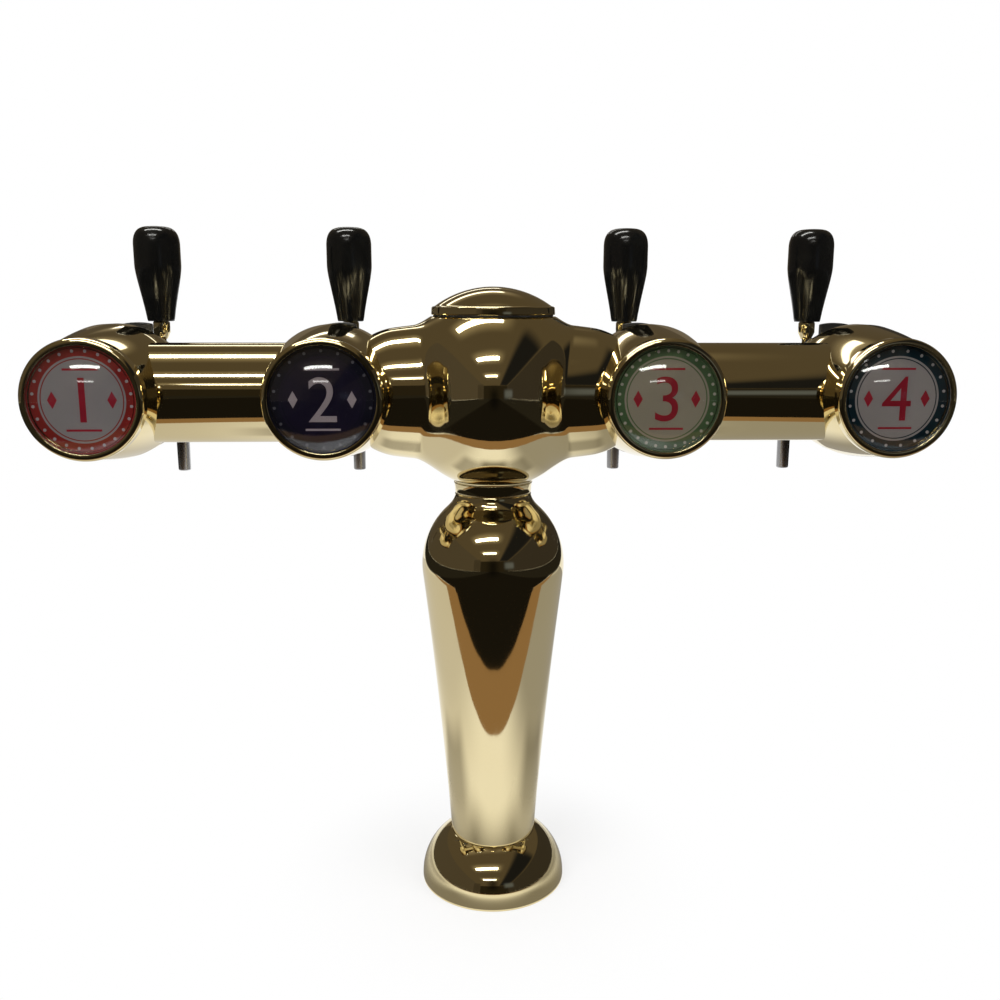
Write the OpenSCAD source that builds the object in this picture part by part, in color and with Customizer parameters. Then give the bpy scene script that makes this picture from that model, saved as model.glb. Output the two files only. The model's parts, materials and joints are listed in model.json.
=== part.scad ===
// Four-tap draft beer tower: a brass column with a T-shaped head, four round
// tap housings with badges at the front and lever taps at the back.
// Millimetres. Origin: centre of the foot on the counter. The guests' side is -Y.

/* [Foot and column] */
// Height of the arm axis above the counter
arm_height = 410; // [360:1:480]
// Radius of the foot dome at the counter
base_radius = 59.3; // [57:0.1:68]
// Straight edge at the bottom of the foot dome
base_edge = 2.7; // [1:0.1:5]
// Height at which the column stands on the dome
foot_height = 43; // [38:0.5:50]
// Column radius at the foot
foot_radius = 34.6; // [33.5:0.1:37]
// Column radius at the shoulder joint
shoulder_radius = 56.4; // [50:0.1:62]
// Shoulder joint below the neck ring joint
shoulder_length = 52; // [46:1:64]
// Inward bow of the tapered shaft
shaft_bow = 1.3; // [0:0.1:3]
// Column radius where the neck ring sits on it
split_radius = 37.8; // [36.5:0.1:40]
// Length of the neck ring between the column and the hub
neck_length = 24; // [22:0.5:28]
// Smallest neck radius
neck_radius = 30.1; // [29.2:0.1:31.5]
// Smallest neck radius below the hub
neck_waist = 10; // [8:0.5:12]
// Neck radius where it meets the hub
neck_top_radius = 31.8; // [31:0.1:34]
// Wall of the spun column
column_wall = 2; // [1.2:0.1:2.6]

/* [Counter mounting] */
// Outer radius of the mounting ring inside the foot
ring_radius = 50; // [48:0.1:52]
// Thickness of the mounting ring
ring_thickness = 11.5; // [8:0.5:14]
// Thickness of the rubber gasket under the ring
gasket_thickness = 2.5; // [1.5:0.1:4]
// Radius of the hole for the beer lines
line_hole_radius = 28; // [26.5:0.1:29]
// Pitch circle diameter of the mounting bolts
bolt_pcd = 80; // [76:1:84]
// Radius of the tapped bolt holes, M8
bolt_hole_radius = 3.4; // [2.5:0.1:4.2]
// Number of mounting bolts
bolt_count = 3; // [3:1:6]
// Radius of the bosses that stand on the counter around the bolts
bolt_boss_radius = 7; // [6:0.1:7.5]

/* [Hub] */
// Radius of the hub ball
hub_radius = 75; // [72:0.5:78]
// Wall of the hub casting
hub_wall = 4; // [3:0.5:5]
// Radius of the hub arm where it leaves the ball
arm_root_radius = 55.3; // [52:0.1:59]
// Radius of the hub arm at its far end
arm_end_radius = 41; // [40:0.1:46]
// Length of the sleeves between the hub and the inner housings
sleeve_length = 26; // [20:0.5:32]
// Radius of the cap rim at the bottom
cap_radius = 47.5; // [45:0.1:49]
// Radius of the cap rim at the top
cap_top_radius = 44.7; // [43:0.1:46]
// Height of the cap rim
cap_rim = 6.6; // [4:0.1:9]
// Height of the cap dome above its rim
cap_dome = 14.6; // [10:0.1:20]
// Radius of the hub mouth under the cap
cap_mouth_radius = 41; // [38:0.1:42]
// Thickness of the seal under the cap
cap_seal_thickness = 1.2; // [0.8:0.1:2]

/* [Arms] */
// Distance of the inner taps from the column axis
tap_inner = 124.2; // [120:0.1:130]
// Distance of the outer taps from the column axis
tap_outer = 293.5; // [270:0.5:320]
// Outer radius of the arm tubes, 3 inch
tube_radius = 38.1; // [36:0.1:40]
// Wall of the arm tubes
tube_wall = 2; // [1.2:0.1:3]

/* [Tap housing] */
// Largest radius of a tap housing
housing_radius = 52; // [50:0.1:56]
// Housing radius behind the bezel
housing_front_radius = 43; // [42.5:0.1:46]
// Housing radius at the back
housing_rear_radius = 43; // [41:0.1:48]
// Housing shoulder in front of the arm axis
housing_front = 52.5; // [50:0.5:60]
// Back of the housing behind the arm axis
housing_rear = 72; // [68:0.5:80]
// Front edge of the widest part of the housing, behind the arm axis
belly_front = 5; // [-10:1:12]
// Back edge of the widest part of the housing, behind the arm axis
belly_back = 25; // [16:1:36]
// Wall of the housing
housing_wall = 2.5; // [1.5:0.1:3.5]
// Back wall of the housing, which carries the tap
rear_wall = 4; // [3:0.5:6]
// Radius of the black cover behind the housing
cover_radius = 43; // [40:0.5:50]
// Width of the tab at the top of the black cover
cover_tab_width = 24; // [16:1:40]
// Height of the tab above the arm axis
cover_tab_reach = 52; // [48:0.5:54]
// Thickness of the black cover
cover_thickness = 7; // [5:0.5:10]

/* [Badge] */
// Outer radius of the bezel
bezel_radius = 44; // [43.4:0.1:46]
// Radius of the housing neck that the bezel screws on
bezel_thread_radius = 40.8; // [40.2:0.1:41.4]
// Length of the housing neck
bezel_thread = 4; // [3:0.5:6]
// Opening radius of the bezel lip
lip_radius = 38.8; // [37:0.1:39.4]
// Thickness of the bezel lip
lip_thickness = 2.5; // [1.5:0.1:3.5]
// Thickness of the lens flange
lens_flange = 2; // [1:0.1:3]
// Height of the lens dome
lens_dome = 14; // [4:0.1:16]
// Wall of the lens dome
lens_wall = 2.5; // [1.5:0.1:4]
// Thickness of the badge disc
badge_thickness = 1.5; // [0.8:0.1:3]
// Thickness of the badge seal
badge_seal_thickness = 1; // [0.5:0.1:2]

/* [Tap] */
// Lever axis behind the arm axis
lever_y = 143.7; // [141:0.1:150]
// Lever pivot above the tap axis
pivot_z = 18; // [17:0.1:19]
// Radius of the pivot ball
ball_radius = 9; // [8:0.1:9.2]
// Radius of the pivot pin
pin_radius = 2.5; // [2:0.1:3]
// Radius of the lever stem
stem_radius = 3.5; // [3:0.1:3.8]
// Radius of the lever tip
tip_radius = 4; // [3.5:0.1:4.2]
// Largest lever angle
lever_swing = 40; // [30:1:40]
// Radius of the plunger bore in the tap body
bore_radius = 9; // [8.6:0.1:9.4]
// Outer radius of the tap barrel
barrel_radius = 13; // [12.4:0.1:13.4]
// Radius of the shank thread, G 5/8
shank_radius = 11.4; // [10.5:0.1:12]
// Radius of the shank thread for the coupling nut
shank_thread_radius = 13.5; // [13:0.1:14]
// Radius of the coupling nut
coupling_radius = 20; // [18.5:0.5:23]
// Distance from the lever axis back to the spout tip
spout_reach = 47; // [38:0.5:56]
// Spout tip below the tap axis
spout_drop = 91.5; // [80:0.5:110]
// Radius of the spout at its root
spout_radius = 6.4; // [5.8:0.1:6.8]
// Radius of the spout at its tip
spout_tip_radius = 5.8; // [4.8:0.1:6.2]
// Radius of the spout bore
spout_bore = 4; // [3:0.1:4.3]

/* [Handle] */
// Bottom of the handle above the tap axis
handle_z = 51.6; // [50:0.1:60]
// Length of the handle
handle_length = 82.5; // [70:0.1:110]
// Largest radius of the handle
handle_radius = 19.9; // [18:0.1:25]
// Radius of the handle at its bottom
handle_foot_radius = 11.7; // [11:0.1:16]
// Radius of the ferrule
ferrule_radius = 7.3; // [6.5:0.1:8.5]

/* [Beer lines] */
// Outer radius of the steel beer lines, 3/8 inch
line_radius = 4.76; // [4:0.01:4.8]
// Wall of the beer lines
line_wall = 0.9; // [0.5:0.1:1.2]
// Bend radius of the beer lines
line_bend = 25; // [20:0.5:30]
// Radius of the line couplings
line_coupling_radius = 8; // [7.5:0.1:8.5]
// Sideways distance of the lines from the column axis
line_x = 10; // [9.5:0.1:11]
// Outer tap lines in front of the column axis
line_front = 13; // [11:0.1:14]
// Inner tap lines behind the column axis
line_back = 11; // [10:0.1:13]

/* [Hidden] */
$fn = 96;
cut = 1;           // overshoot of a cutting tool
fit = 0.1;         // clearance of seated pieces
running = 0.05;    // clearance of turning and sliding pieces
free = 0.3;        // clearance between moving pieces that don't touch
curve_steps = 10;  // segments of a curved outline
tap_x = [-tap_outer, -tap_inner, tap_inner, tap_outer];
taps = [0 : 3];
sides = [-1, 1];

// Foot
ring_top = gasket_thickness + ring_thickness;
dome_rise = foot_height - base_edge;
dome_centre = (base_radius ^ 2 - foot_radius ^ 2 - dome_rise ^ 2) / (2 * (base_radius - foot_radius));
dome_radius = base_radius - dome_centre;
dome_end = atan2(dome_rise, foot_radius - dome_centre);
spigot = 18;
ledge = 4;
foot_roof = 5;
foot_hole = line_hole_radius;

// Column heights
hub_floor = sqrt(hub_radius ^ 2 - neck_top_radius ^ 2);
hub_roof = sqrt(hub_radius ^ 2 - cap_radius ^ 2);
neck_top_z = arm_height - hub_floor;
neck_z = neck_top_z - neck_waist;
split_z = neck_top_z - neck_length;
shoulder_z = split_z - shoulder_length;
nipple_radius = 26;
nipple_wall = 2.5;
nipple_grip = 12;
neck_spigot = 9;
cap_spigot = 8;
cap_wall = 3;
cap_seal_inset = 1.5;

// Hub arms
arm_sink = 1.34;      // depth of the arm's root inside the ball
arm_overlap = 18.2;   // from the inner tap axis to the uncut end of the arm
arm_root = sqrt(hub_radius ^ 2 - (arm_root_radius + arm_sink) ^ 2);
arm_reach = tap_inner - arm_overlap;
arm_slope = (arm_end_radius - arm_root_radius) / (arm_reach - arm_root);
port_reach = sqrt(housing_radius ^ 2 - tube_radius ^ 2) - 1.5;
arm_bore_start = tap_inner - port_reach - sleeve_length;

// Badge stack, measured from the housing shoulder towards the guests
neck_front = housing_front + bezel_thread;
badge_back = neck_front + badge_seal_thickness;
lens_back = badge_back + badge_thickness;
lip_back = lens_back + lens_flange;
bezel_front = lip_back + lip_thickness;
disc_radius = bezel_thread_radius;
bezel_round = 3.5;
bezel_wall = 3;
lens_rise = 1.7;

// Tap stations along Y
cover_back = housing_rear + cover_thickness;
shank_collar = 3;
shank_tail = 45;
shank_bore = 5;
shank_thread = 9;
shank_collar_radius = 17;
shank_mouth = cover_back + shank_collar + shank_thread;
seal_room = bore_radius - 0.4;
inlet_flange = 3;
inlet_flange_radius = 16;
barrel_start = shank_mouth + inlet_flange;
seat_y = shank_mouth + 10.3;
seat_length = 3.7;
seat_bore = 5.5;
barrel_end = lever_y + 17;
barrel_chamfer = 3;
chamfer = 1;
bore_end = lever_y + 14;
boss_radius = 13.4;
boss_top = pivot_z + 5;
bonnet_radius = 16.5;
bonnet_bottom = barrel_radius + 1;
bonnet_top = pivot_z + ball_radius + 0.5;
bonnet_hole = sqrt(ball_radius ^ 2 - 25) + 0.4;
nut_start = cover_back + shank_collar + 0.3;
nut_lip = 3.2;
nut_end = barrel_start + fit + nut_lip;

// Lever and plunger
tip_arm = pivot_z;
tip_room = tip_radius + 0.7;
stem_room = handle_z + 25;
low_stem_radius = 3;
head_front = 9;
head_back = 12.5;
rod_radius = 3;
seal_length = 4;
seal_radius = seal_room - 0.8;
rod_end = 4;
slot_wall = 4;
ferrule_lift = 8.5;
ferrule_cone = 6;

// Spout
spout_y = lever_y + spout_reach;
nose_radius = 8.6;
nose_sink = 2;
outlet_bore = 5;
spout_socket = 20;
spout_boss_radius = 10;
spout_collar = 4;
spout_grip = 10;

// Beer lines
line_end = 24;
line_coupling_bottom = 6;
line_coupling_length = 36;
line_stop = 2;

// Points of a cubic curve, without its first point
function curve(a, b, c, d, n = curve_steps) =
    [for (i = [1 : n]) let (t = i / n, u = 1 - t)
        u ^ 3 * a + 3 * u ^ 2 * t * b + 3 * u * t ^ 2 * c + t ^ 3 * d];

// Points of an arc, both ends included
function arc(centre, r, from, to, n = curve_steps) =
    [for (i = [0 : n]) let (a = from + (to - from) * i / n) centre + r * [cos(a), sin(a)]];

function reversed(list) = [for (i = [len(list) - 1 : -1 : 0]) list[i]];

// Moves an outline towards its axis
function inset(list, wall) = [for (p = list) [p[0] - wall, p[1]]];

// Column outline from the foot to the neck ring
function column_outline() =
    let (foot = [foot_radius, foot_height],
         joint = [shoulder_radius, shoulder_z],
         middle = (foot + joint) / 2 - [2 * shaft_bow, 0],
         split = [split_radius, split_z],
         shaft_low = foot + (middle - foot) * 2 / 3,
         shaft_high = joint + (middle - joint) * 2 / 3,
         bulge = joint + [1.8, 15],
         crown = split + [16.7, -16])
    concat([foot], curve(foot, shaft_low, shaft_high, joint), curve(joint, bulge, crown, split));

// Neck outline from the column to the hub
function neck_outline() =
    let (split = [split_radius, split_z],
         narrow = [neck_radius, neck_z],
         top = [neck_top_radius, neck_top_z])
    concat([split],
           curve(split, split + [-4.8, 4.6], narrow - [0, 6], narrow),
           curve(narrow, narrow + [0, 4], top - [1, 2], top));

// Housing side from the bezel shoulder to the back, at a depth below the surface
function housing_side(depth, back) =
    let (front = [housing_front_radius - depth, -housing_front],
         full = [housing_radius - depth, belly_front],
         turn = [housing_radius - depth, belly_back],
         end = [housing_rear_radius - depth, back])
    concat([front],
           curve(front, front + [4, 17], full - [2, 19], full),
           curve(turn, turn + [0, 10], end + [3.5, -15], end));

module at_tap(i) {
    translate([tap_x[i], 0, arm_height]) children();
}

module along_y() {
    rotate([-90, 0, 0]) children();
}

module along_x(side = 1) {
    rotate([0, side * 90, 0]) children();
}

// A ring about local Z
module ring(outer, inner, height) {
    rotate_extrude() translate([inner, 0]) square([outer - inner, height]);
}

module at_bolts() {
    for (k = [0 : bolt_count - 1])
        rotate(90 + k * 360 / bolt_count) translate([bolt_pcd / 2, 0, 0]) children();
}

// Cutters for the bolt pattern of the foot
module bolt_holes(radius) {
    at_bolts() translate([0, 0, -cut]) cylinder(r = radius, h = ring_top + 2 * cut);
}

module base_gasket() {
    color("#262626") difference() {
        ring(ring_radius, line_hole_radius, gasket_thickness);
        bolt_holes(bolt_boss_radius + fit);
    }
}

// The bosses reach through the gasket, so the bolts can't crush it
module base_ring() {
    color("#9a9a9c") difference() {
        union() {
            translate([0, 0, gasket_thickness]) ring(ring_radius, line_hole_radius, ring_thickness);
            at_bolts() cylinder(r = bolt_boss_radius, h = ring_top);
        }
        bolt_holes(bolt_hole_radius);
    }
}

module base_flange() {
    recess = ring_radius + fit;
    spigot_radius = foot_radius - column_wall - fit;
    color("#c9a24d") rotate_extrude() polygon(concat(
        [[recess, 0], [base_radius, 0]],
        arc([dome_centre, base_edge], dome_radius, 0, dome_end, 2 * curve_steps),
        [[spigot_radius, foot_height], [spigot_radius, foot_height + spigot],
         [foot_hole, foot_height + spigot], [foot_hole, foot_height - foot_roof],
         [recess - ledge, ring_top], [recess, ring_top]]));
}

module column_shell() {
    outline = column_outline();
    color("#c9a24d") rotate_extrude()
        polygon(concat(outline, reversed(inset(outline, column_wall))));
}

module neck_ring() {
    bore = nipple_radius + fit;
    spigot_radius = split_radius - column_wall - fit;
    color("#c9a24d") rotate_extrude() polygon(concat(
        neck_outline(),
        [[bore, neck_top_z], [bore, split_z - neck_spigot],
         [spigot_radius, split_z - neck_spigot], [spigot_radius, split_z]]));
}

module neck_nipple() {
    color("#b48d3f") translate([0, 0, neck_top_z - nipple_grip])
        ring(nipple_radius, nipple_radius - nipple_wall, 2 * nipple_grip);
}

// The room between the hub's floor and roof
module hub_slab() {
    reach = hub_radius + cut;
    translate([-tap_inner, -reach, -hub_floor])
        cube([2 * tap_inner, 2 * reach, hub_floor + hub_roof]);
}

module hub_solid() {
    intersection() {
        sphere(r = hub_radius);
        hub_slab();
    }
    for (side = sides) intersection() {
        along_x(side) translate([0, 0, arm_root])
            cylinder(h = arm_reach - arm_root, r1 = arm_root_radius, r2 = arm_end_radius);
        hub_slab();
    }
}

module hub_hollow() {
    sphere(r = hub_radius - hub_wall);
    for (side = sides) along_x(side) {
        cylinder(h = arm_reach + cut, r = tube_radius + fit);
        cylinder(h = arm_bore_start, r1 = arm_root_radius - hub_wall - arm_slope * arm_root,
                 r2 = arm_root_radius - hub_wall + arm_slope * (arm_bore_start - arm_root));
    }
    cylinder(r = cap_mouth_radius, h = hub_radius);
    translate([0, 0, -hub_radius]) cylinder(r = nipple_radius + fit, h = hub_radius);
}

module hub_body() {
    color("#c9a24d") translate([0, 0, arm_height]) difference() {
        hub_solid();
        hub_hollow();
        for (side = sides) translate([side * tap_inner, 0, 0])
            along_y() rotate_extrude() polygon(concat(
                [[0, -housing_front]], housing_side(-fit, housing_rear), [[0, housing_rear]]));
    }
}

module hub_cap() {
    seat = arm_height + hub_roof + cap_seal_thickness;
    rim_top = seat + cap_rim;
    dome = (cap_top_radius ^ 2 + cap_dome ^ 2) / (2 * cap_dome);
    spread = asin(cap_top_radius / dome);
    spigot_radius = cap_mouth_radius - fit;
    spigot_bore = spigot_radius - cap_wall;
    color("#c9a24d") rotate_extrude() polygon(concat(
        [[spigot_bore, seat - cap_spigot], [spigot_radius, seat - cap_spigot],
         [spigot_radius, seat], [cap_radius, seat]],
        arc([0, rim_top + cap_dome - dome], dome, 90 - spread, 90),
        [[0, rim_top + cap_dome - cap_wall], [spigot_bore, rim_top]]));
}

module cap_seal() {
    color("#262626") translate([0, 0, arm_height + hub_roof])
        ring(cap_radius - cap_seal_inset, cap_mouth_radius, cap_seal_thickness);
}

module hub_nipples() {
    color("#b48d3f") for (side = sides)
        translate([0, 0, arm_height]) along_x(side) translate([0, 0, arm_bore_start])
            ring(tube_radius, tube_radius - tube_wall, sleeve_length);
}

module arm_tube(side) {
    start = tap_inner + port_reach;
    color("#c9a24d") translate([0, 0, arm_height]) along_x(side) translate([0, 0, start])
        ring(tube_radius, tube_radius - tube_wall, tap_outer - port_reach - start);
}

module arm_tube_left() {
    arm_tube(-1);
}

module arm_tube_right() {
    arm_tube(1);
}

// Ports for the arm tubes: both sides of an inner housing, one of an outer
module housing_ports(i) {
    to_hub = tap_x[i] > 0 ? -1 : 1;
    reach = housing_radius + cut;
    back = abs(tap_x[i]) < tap_outer ? reach : 0;
    along_x(to_hub) translate([0, 0, -back]) cylinder(r = tube_radius + fit, h = reach + back);
}

module housing(i) {
    neck_bore = bezel_thread_radius - bezel_wall;
    hole = shank_radius + fit;
    color("#c9a24d") at_tap(i) difference() {
        along_y() rotate_extrude() polygon(concat(
            [[neck_bore, -neck_front], [bezel_thread_radius, -neck_front],
             [bezel_thread_radius, -housing_front]],
            housing_side(0, housing_rear),
            [[hole, housing_rear], [hole, housing_rear - rear_wall]],
            reversed(housing_side(housing_wall, housing_rear - rear_wall)),
            [[neck_bore, -housing_front]]));
        housing_ports(i);
    }
}

module bezels() {
    thread = bezel_thread_radius + fit;
    corner = [bezel_radius - bezel_round, -bezel_front + bezel_round];
    color("#c9a24d") for (i = taps) at_tap(i) along_y() rotate_extrude() polygon(concat(
        [[thread, -lip_back], [lip_radius, -lip_back], [lip_radius, -bezel_front]],
        arc(corner, bezel_round, -90, 0, 6),
        [[bezel_radius, -housing_front - fit], [thread, -housing_front - fit]]));
}

module badge(i) {
    tint = ["#7c2a2c", "#1c1e46", "#6f8f72", "#1f4750"];
    color(tint[i]) at_tap(i) translate([0, -lens_back, 0])
        along_y() cylinder(r = disc_radius, h = badge_thickness);
}

module badge_seals() {
    color("#262626") for (i = taps) at_tap(i) translate([0, -badge_back, 0])
        along_y() ring(bezel_thread_radius, bezel_thread_radius - bezel_wall, badge_seal_thickness);
}

module lens(i) {
    edge = lip_radius - 2 * fit;
    dome = (edge ^ 2 + lens_dome ^ 2) / (2 * lens_dome);
    spread = asin(edge / dome);
    crown = -lip_back - lens_rise - lens_dome;
    room = edge - lens_wall;
    inside = asin(room / (dome - lens_wall));
    color("#dfe3e6", 0.5) at_tap(i) along_y() rotate_extrude() polygon(concat(
        [[room, -lens_back], [disc_radius, -lens_back], [disc_radius, -lip_back], [edge, -lip_back]],
        reversed(arc([0, crown + dome], dome, -90, -90 + spread)),
        arc([0, crown + dome], dome - lens_wall, -90, -90 + inside)));
}

module rear_covers() {
    soft = 2;
    tab_root = cover_radius / 2;
    color("#1b1b1d") for (i = taps) at_tap(i) along_y() {
        rotate_extrude() polygon(concat(
            [[shank_radius + fit, housing_rear], [cover_radius, housing_rear]],
            arc([cover_radius - soft, cover_back - soft], soft, 0, 90, 4),
            [[shank_radius + fit, cover_back]]));
        translate([0, 0, housing_rear]) intersection() {
            cylinder(r = cover_tab_reach, h = cover_thickness);
            translate([-cover_tab_width / 2, -cover_tab_reach - cut, 0])
                cube([cover_tab_width, cover_tab_reach + cut - tab_root, cover_thickness]);
        }
    }
}

module shanks() {
    collar_end = cover_back + shank_collar;
    color("#b9b9bb") for (i = taps) at_tap(i) along_y() rotate_extrude() polygon([
        [shank_bore, shank_tail], [shank_radius, shank_tail], [shank_radius, cover_back],
        [shank_collar_radius, cover_back], [shank_collar_radius, collar_end],
        [shank_thread_radius, collar_end], [shank_thread_radius, shank_mouth],
        [seal_room, shank_mouth], [seal_room, cover_back], [shank_bore, cover_back]]);
}

module shank_nuts() {
    nut = 8;
    color("#b48d3f") for (i = taps) at_tap(i)
        translate([0, housing_rear - rear_wall - nut, 0]) along_y() difference() {
            cylinder(r = shank_radius + 6, h = nut, $fn = 6);
            translate([0, 0, -cut]) cylinder(r = shank_radius + fit, h = nut + 2 * cut);
        }
}

module coupling_nuts() {
    notch = 2.2;
    thread = shank_thread_radius + fit;
    room = inlet_flange_radius + fit;
    color("#c9a24d") for (i = taps) at_tap(i) along_y() difference() {
        rotate_extrude() polygon([
            [thread, nut_start], [coupling_radius - chamfer, nut_start],
            [coupling_radius, nut_start + chamfer], [coupling_radius, nut_end - chamfer],
            [coupling_radius - chamfer, nut_end],
            [barrel_radius + fit, nut_end], [barrel_radius + fit, barrel_start + fit],
            [room, barrel_start + fit], [room, shank_mouth], [thread, shank_mouth]]);
        for (k = [0 : 5]) rotate(k * 60) translate([coupling_radius, 0, nut_start - cut])
            cylinder(r = notch, h = nut_end - nut_start + 2 * cut, $fn = 32);
    }
}

// The spout axis: local Z runs down from the tap axis
module on_spout() {
    translate([0, spout_y, 0]) rotate([180, 0, 0]) children();
}

module tap_body(i) {
    color("#c9a24d") at_tap(i) difference() {
        union() {
            along_y() rotate_extrude() polygon([
                [0, shank_mouth], [inlet_flange_radius, shank_mouth],
                [inlet_flange_radius, barrel_start], [barrel_radius, barrel_start],
                [barrel_radius, barrel_end - barrel_chamfer],
                [barrel_radius - barrel_chamfer, barrel_end], [0, barrel_end]]);
            translate([0, lever_y, 0]) cylinder(r = boss_radius, h = boss_top);
            along_y() translate([0, 0, barrel_end - nose_sink])
                cylinder(r = nose_radius, h = spout_y - barrel_end + nose_sink);
            on_spout() rotate_extrude() polygon([
                [0, -spout_boss_radius], [spout_boss_radius - chamfer, -spout_boss_radius],
                [spout_boss_radius, chamfer - spout_boss_radius],
                [spout_boss_radius, spout_socket], [0, spout_socket]]);
        }
        along_y() {
            translate([0, 0, shank_mouth - cut]) cylinder(r = seal_room, h = seat_y - shank_mouth + cut);
            translate([0, 0, shank_mouth]) cylinder(r = seat_bore, h = lever_y - shank_mouth);
            translate([0, 0, seat_y + seat_length])
                cylinder(r = bore_radius, h = bore_end - seat_y - seat_length);
            translate([0, 0, lever_y]) cylinder(r = outlet_bore, h = spout_reach);
        }
        translate([0, lever_y, 0]) cylinder(r = ball_radius + free, h = boss_top + cut);
        translate([-tip_radius - free, lever_y - boss_radius + 1, 0])
            cube([2 * (tip_radius + free), boss_radius, barrel_radius - 1]);
        translate([-boss_radius - cut, lever_y, pivot_z])
            along_x() cylinder(r = pin_radius + running, h = 2 * (boss_radius + cut));
        on_spout() {
            cylinder(r = spout_bore, h = spout_socket + cut);
            translate([0, 0, spout_socket - spout_grip])
                cylinder(r = spout_radius + fit, h = spout_grip + cut);
        }
    }
}

module bonnets() {
    slot = stem_radius + 0.4;
    slot_end = (bonnet_top - pivot_z) * tan(lever_swing) + stem_radius / cos(lever_swing) + 0.5;
    color("#c9a24d") for (i = taps) at_tap(i) translate([0, lever_y, 0]) difference() {
        rotate_extrude() polygon([
            [boss_radius + fit, bonnet_bottom], [bonnet_radius, bonnet_bottom],
            [bonnet_radius, bonnet_top - chamfer], [bonnet_radius - chamfer, bonnet_top],
            [bonnet_hole, bonnet_top], [bonnet_hole, boss_top], [boss_radius + fit, boss_top]]);
        translate([-slot, 0, boss_top - cut]) cube([2 * slot, slot_end, bonnet_top - boss_top + 2 * cut]);
    }
}

module lever_pins() {
    half = sqrt(boss_radius ^ 2 - pin_radius ^ 2);
    color("#b9b9bb") for (i = taps) at_tap(i)
        translate([-half, lever_y, pivot_z])
            along_x() cylinder(r = pin_radius, h = 2 * half);
}

module lever(i) {
    color("#c9a24d") at_tap(i) translate([0, lever_y, 0]) difference() {
        union() {
            translate([0, 0, pivot_z]) sphere(r = ball_radius);
            translate([0, 0, pivot_z]) cylinder(r = stem_radius, h = stem_room - pivot_z);
            translate([0, 0, pivot_z - tip_arm]) {
                sphere(r = tip_radius);
                cylinder(r = low_stem_radius, h = tip_arm);
            }
        }
        translate([-ball_radius - cut, 0, pivot_z])
            along_x() cylinder(r = pin_radius + running, h = 2 * (ball_radius + cut));
    }
}

module ferrule(i) {
    low = bonnet_top + ferrule_lift;
    bore = stem_radius + fit;
    color("#c9a24d") at_tap(i) translate([0, lever_y, 0]) rotate_extrude() polygon([
        [bore, low], [bore + chamfer, low], [ferrule_radius, low + ferrule_cone],
        [ferrule_radius, handle_z - chamfer], [ferrule_radius - chamfer, handle_z], [bore, handle_z]]);
}

module handle(i) {
    bore = stem_radius + fit;
    span = handle_length;
    top = handle_z + span;
    foot = [handle_foot_radius, handle_z];
    wide = [handle_radius, handle_z + 0.6 * span];
    shoulder = [handle_radius, handle_z + 0.8 * span];
    crown = [0.45 * handle_radius, top - 0.006 * span];
    color("#141414") at_tap(i) translate([0, lever_y, 0]) rotate_extrude() polygon(concat(
        [[bore, stem_room + 1], [bore, handle_z], foot],
        curve(foot, foot + [2.5, 0.24 * span], wide - [0, 0.115 * span], wide),
        [shoulder],
        curve(shoulder, shoulder + [0, 0.11 * span], crown + [0.4 * handle_radius, -0.012 * span], crown),
        [[0, top], [0, stem_room + 1]]));
}

module plunger(i) {
    seal_front = seat_y - free - seal_length;
    color("#b9b9bb") at_tap(i) difference() {
        along_y() {
            translate([0, 0, seal_front - rod_end]) cylinder(r = rod_radius + 2, h = rod_end);
            translate([0, 0, seal_front - cut])
                cylinder(r = rod_radius, h = lever_y - head_front - seal_front + 2 * cut);
            translate([0, 0, lever_y - head_front])
                cylinder(r = bore_radius - running, h = head_front + head_back);
        }
        translate([-tip_radius - free, lever_y - tip_room, -bore_radius])
            cube([2 * (tip_radius + free), tip_room + head_back - slot_wall, 2 * bore_radius]);
        translate([-bore_radius, lever_y - head_front - cut, -bore_radius])
            cube([2 * bore_radius, head_front + head_back + 2 * cut, bore_radius / 3]);
    }
}

module plunger_seal(i) {
    color("#262626") at_tap(i) translate([0, seat_y - free - seal_length, 0])
        along_y() ring(seal_radius, rod_radius + running, seal_length);
}

module spouts() {
    collar_radius = spout_boss_radius - chamfer;
    collar_end = spout_socket + spout_collar;
    color("#8d8f92") for (i = taps) at_tap(i) on_spout() rotate_extrude() polygon([
        [spout_bore, spout_socket - spout_grip], [spout_radius, spout_socket - spout_grip],
        [spout_radius, spout_socket], [collar_radius, spout_socket],
        [collar_radius, collar_end - chamfer], [collar_radius - chamfer, collar_end],
        [spout_radius, collar_end], [spout_tip_radius, spout_drop - chamfer],
        [spout_tip_radius - 0.5, spout_drop], [spout_bore, spout_drop]]);
}

// One run of a beer line: back through the housing, along the arm, down the column
module line_run(side, x, depth, radius, grow) {
    start = shank_tail + 6 + grow;
    corner = line_bend + depth;
    translate([side * x, start, arm_height])
        rotate([90, 0, 0]) cylinder(r = radius, h = start - corner);
    translate([side * (x - line_bend), corner, arm_height])
        rotate([0, 0, side > 0 ? -90 : 180]) rotate_extrude(angle = 90)
            translate([line_bend, 0]) circle(r = radius);
    translate([side * (line_x + line_bend), depth, arm_height])
        along_x(side) cylinder(r = radius, h = x - line_x - 2 * line_bend);
    translate([side * (line_x + line_bend), depth, arm_height - line_bend])
        rotate([90, 0, 0]) rotate([0, 0, side > 0 ? 90 : 0]) rotate_extrude(angle = 90)
            translate([line_bend, 0]) circle(r = radius);
    translate([side * line_x, depth, line_end - grow])
        cylinder(r = radius, h = arm_height - line_bend - line_end + grow);
}

module product_line(side, x, depth) {
    difference() {
        line_run(side, x, depth, line_radius, 0);
        line_run(side, x, depth, line_radius - line_wall, cut);
    }
}

module product_lines() {
    color("#a5a7aa") for (side = sides) {
        product_line(side, tap_outer, -line_front);
        product_line(side, tap_inner, line_back);
    }
}

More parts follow.
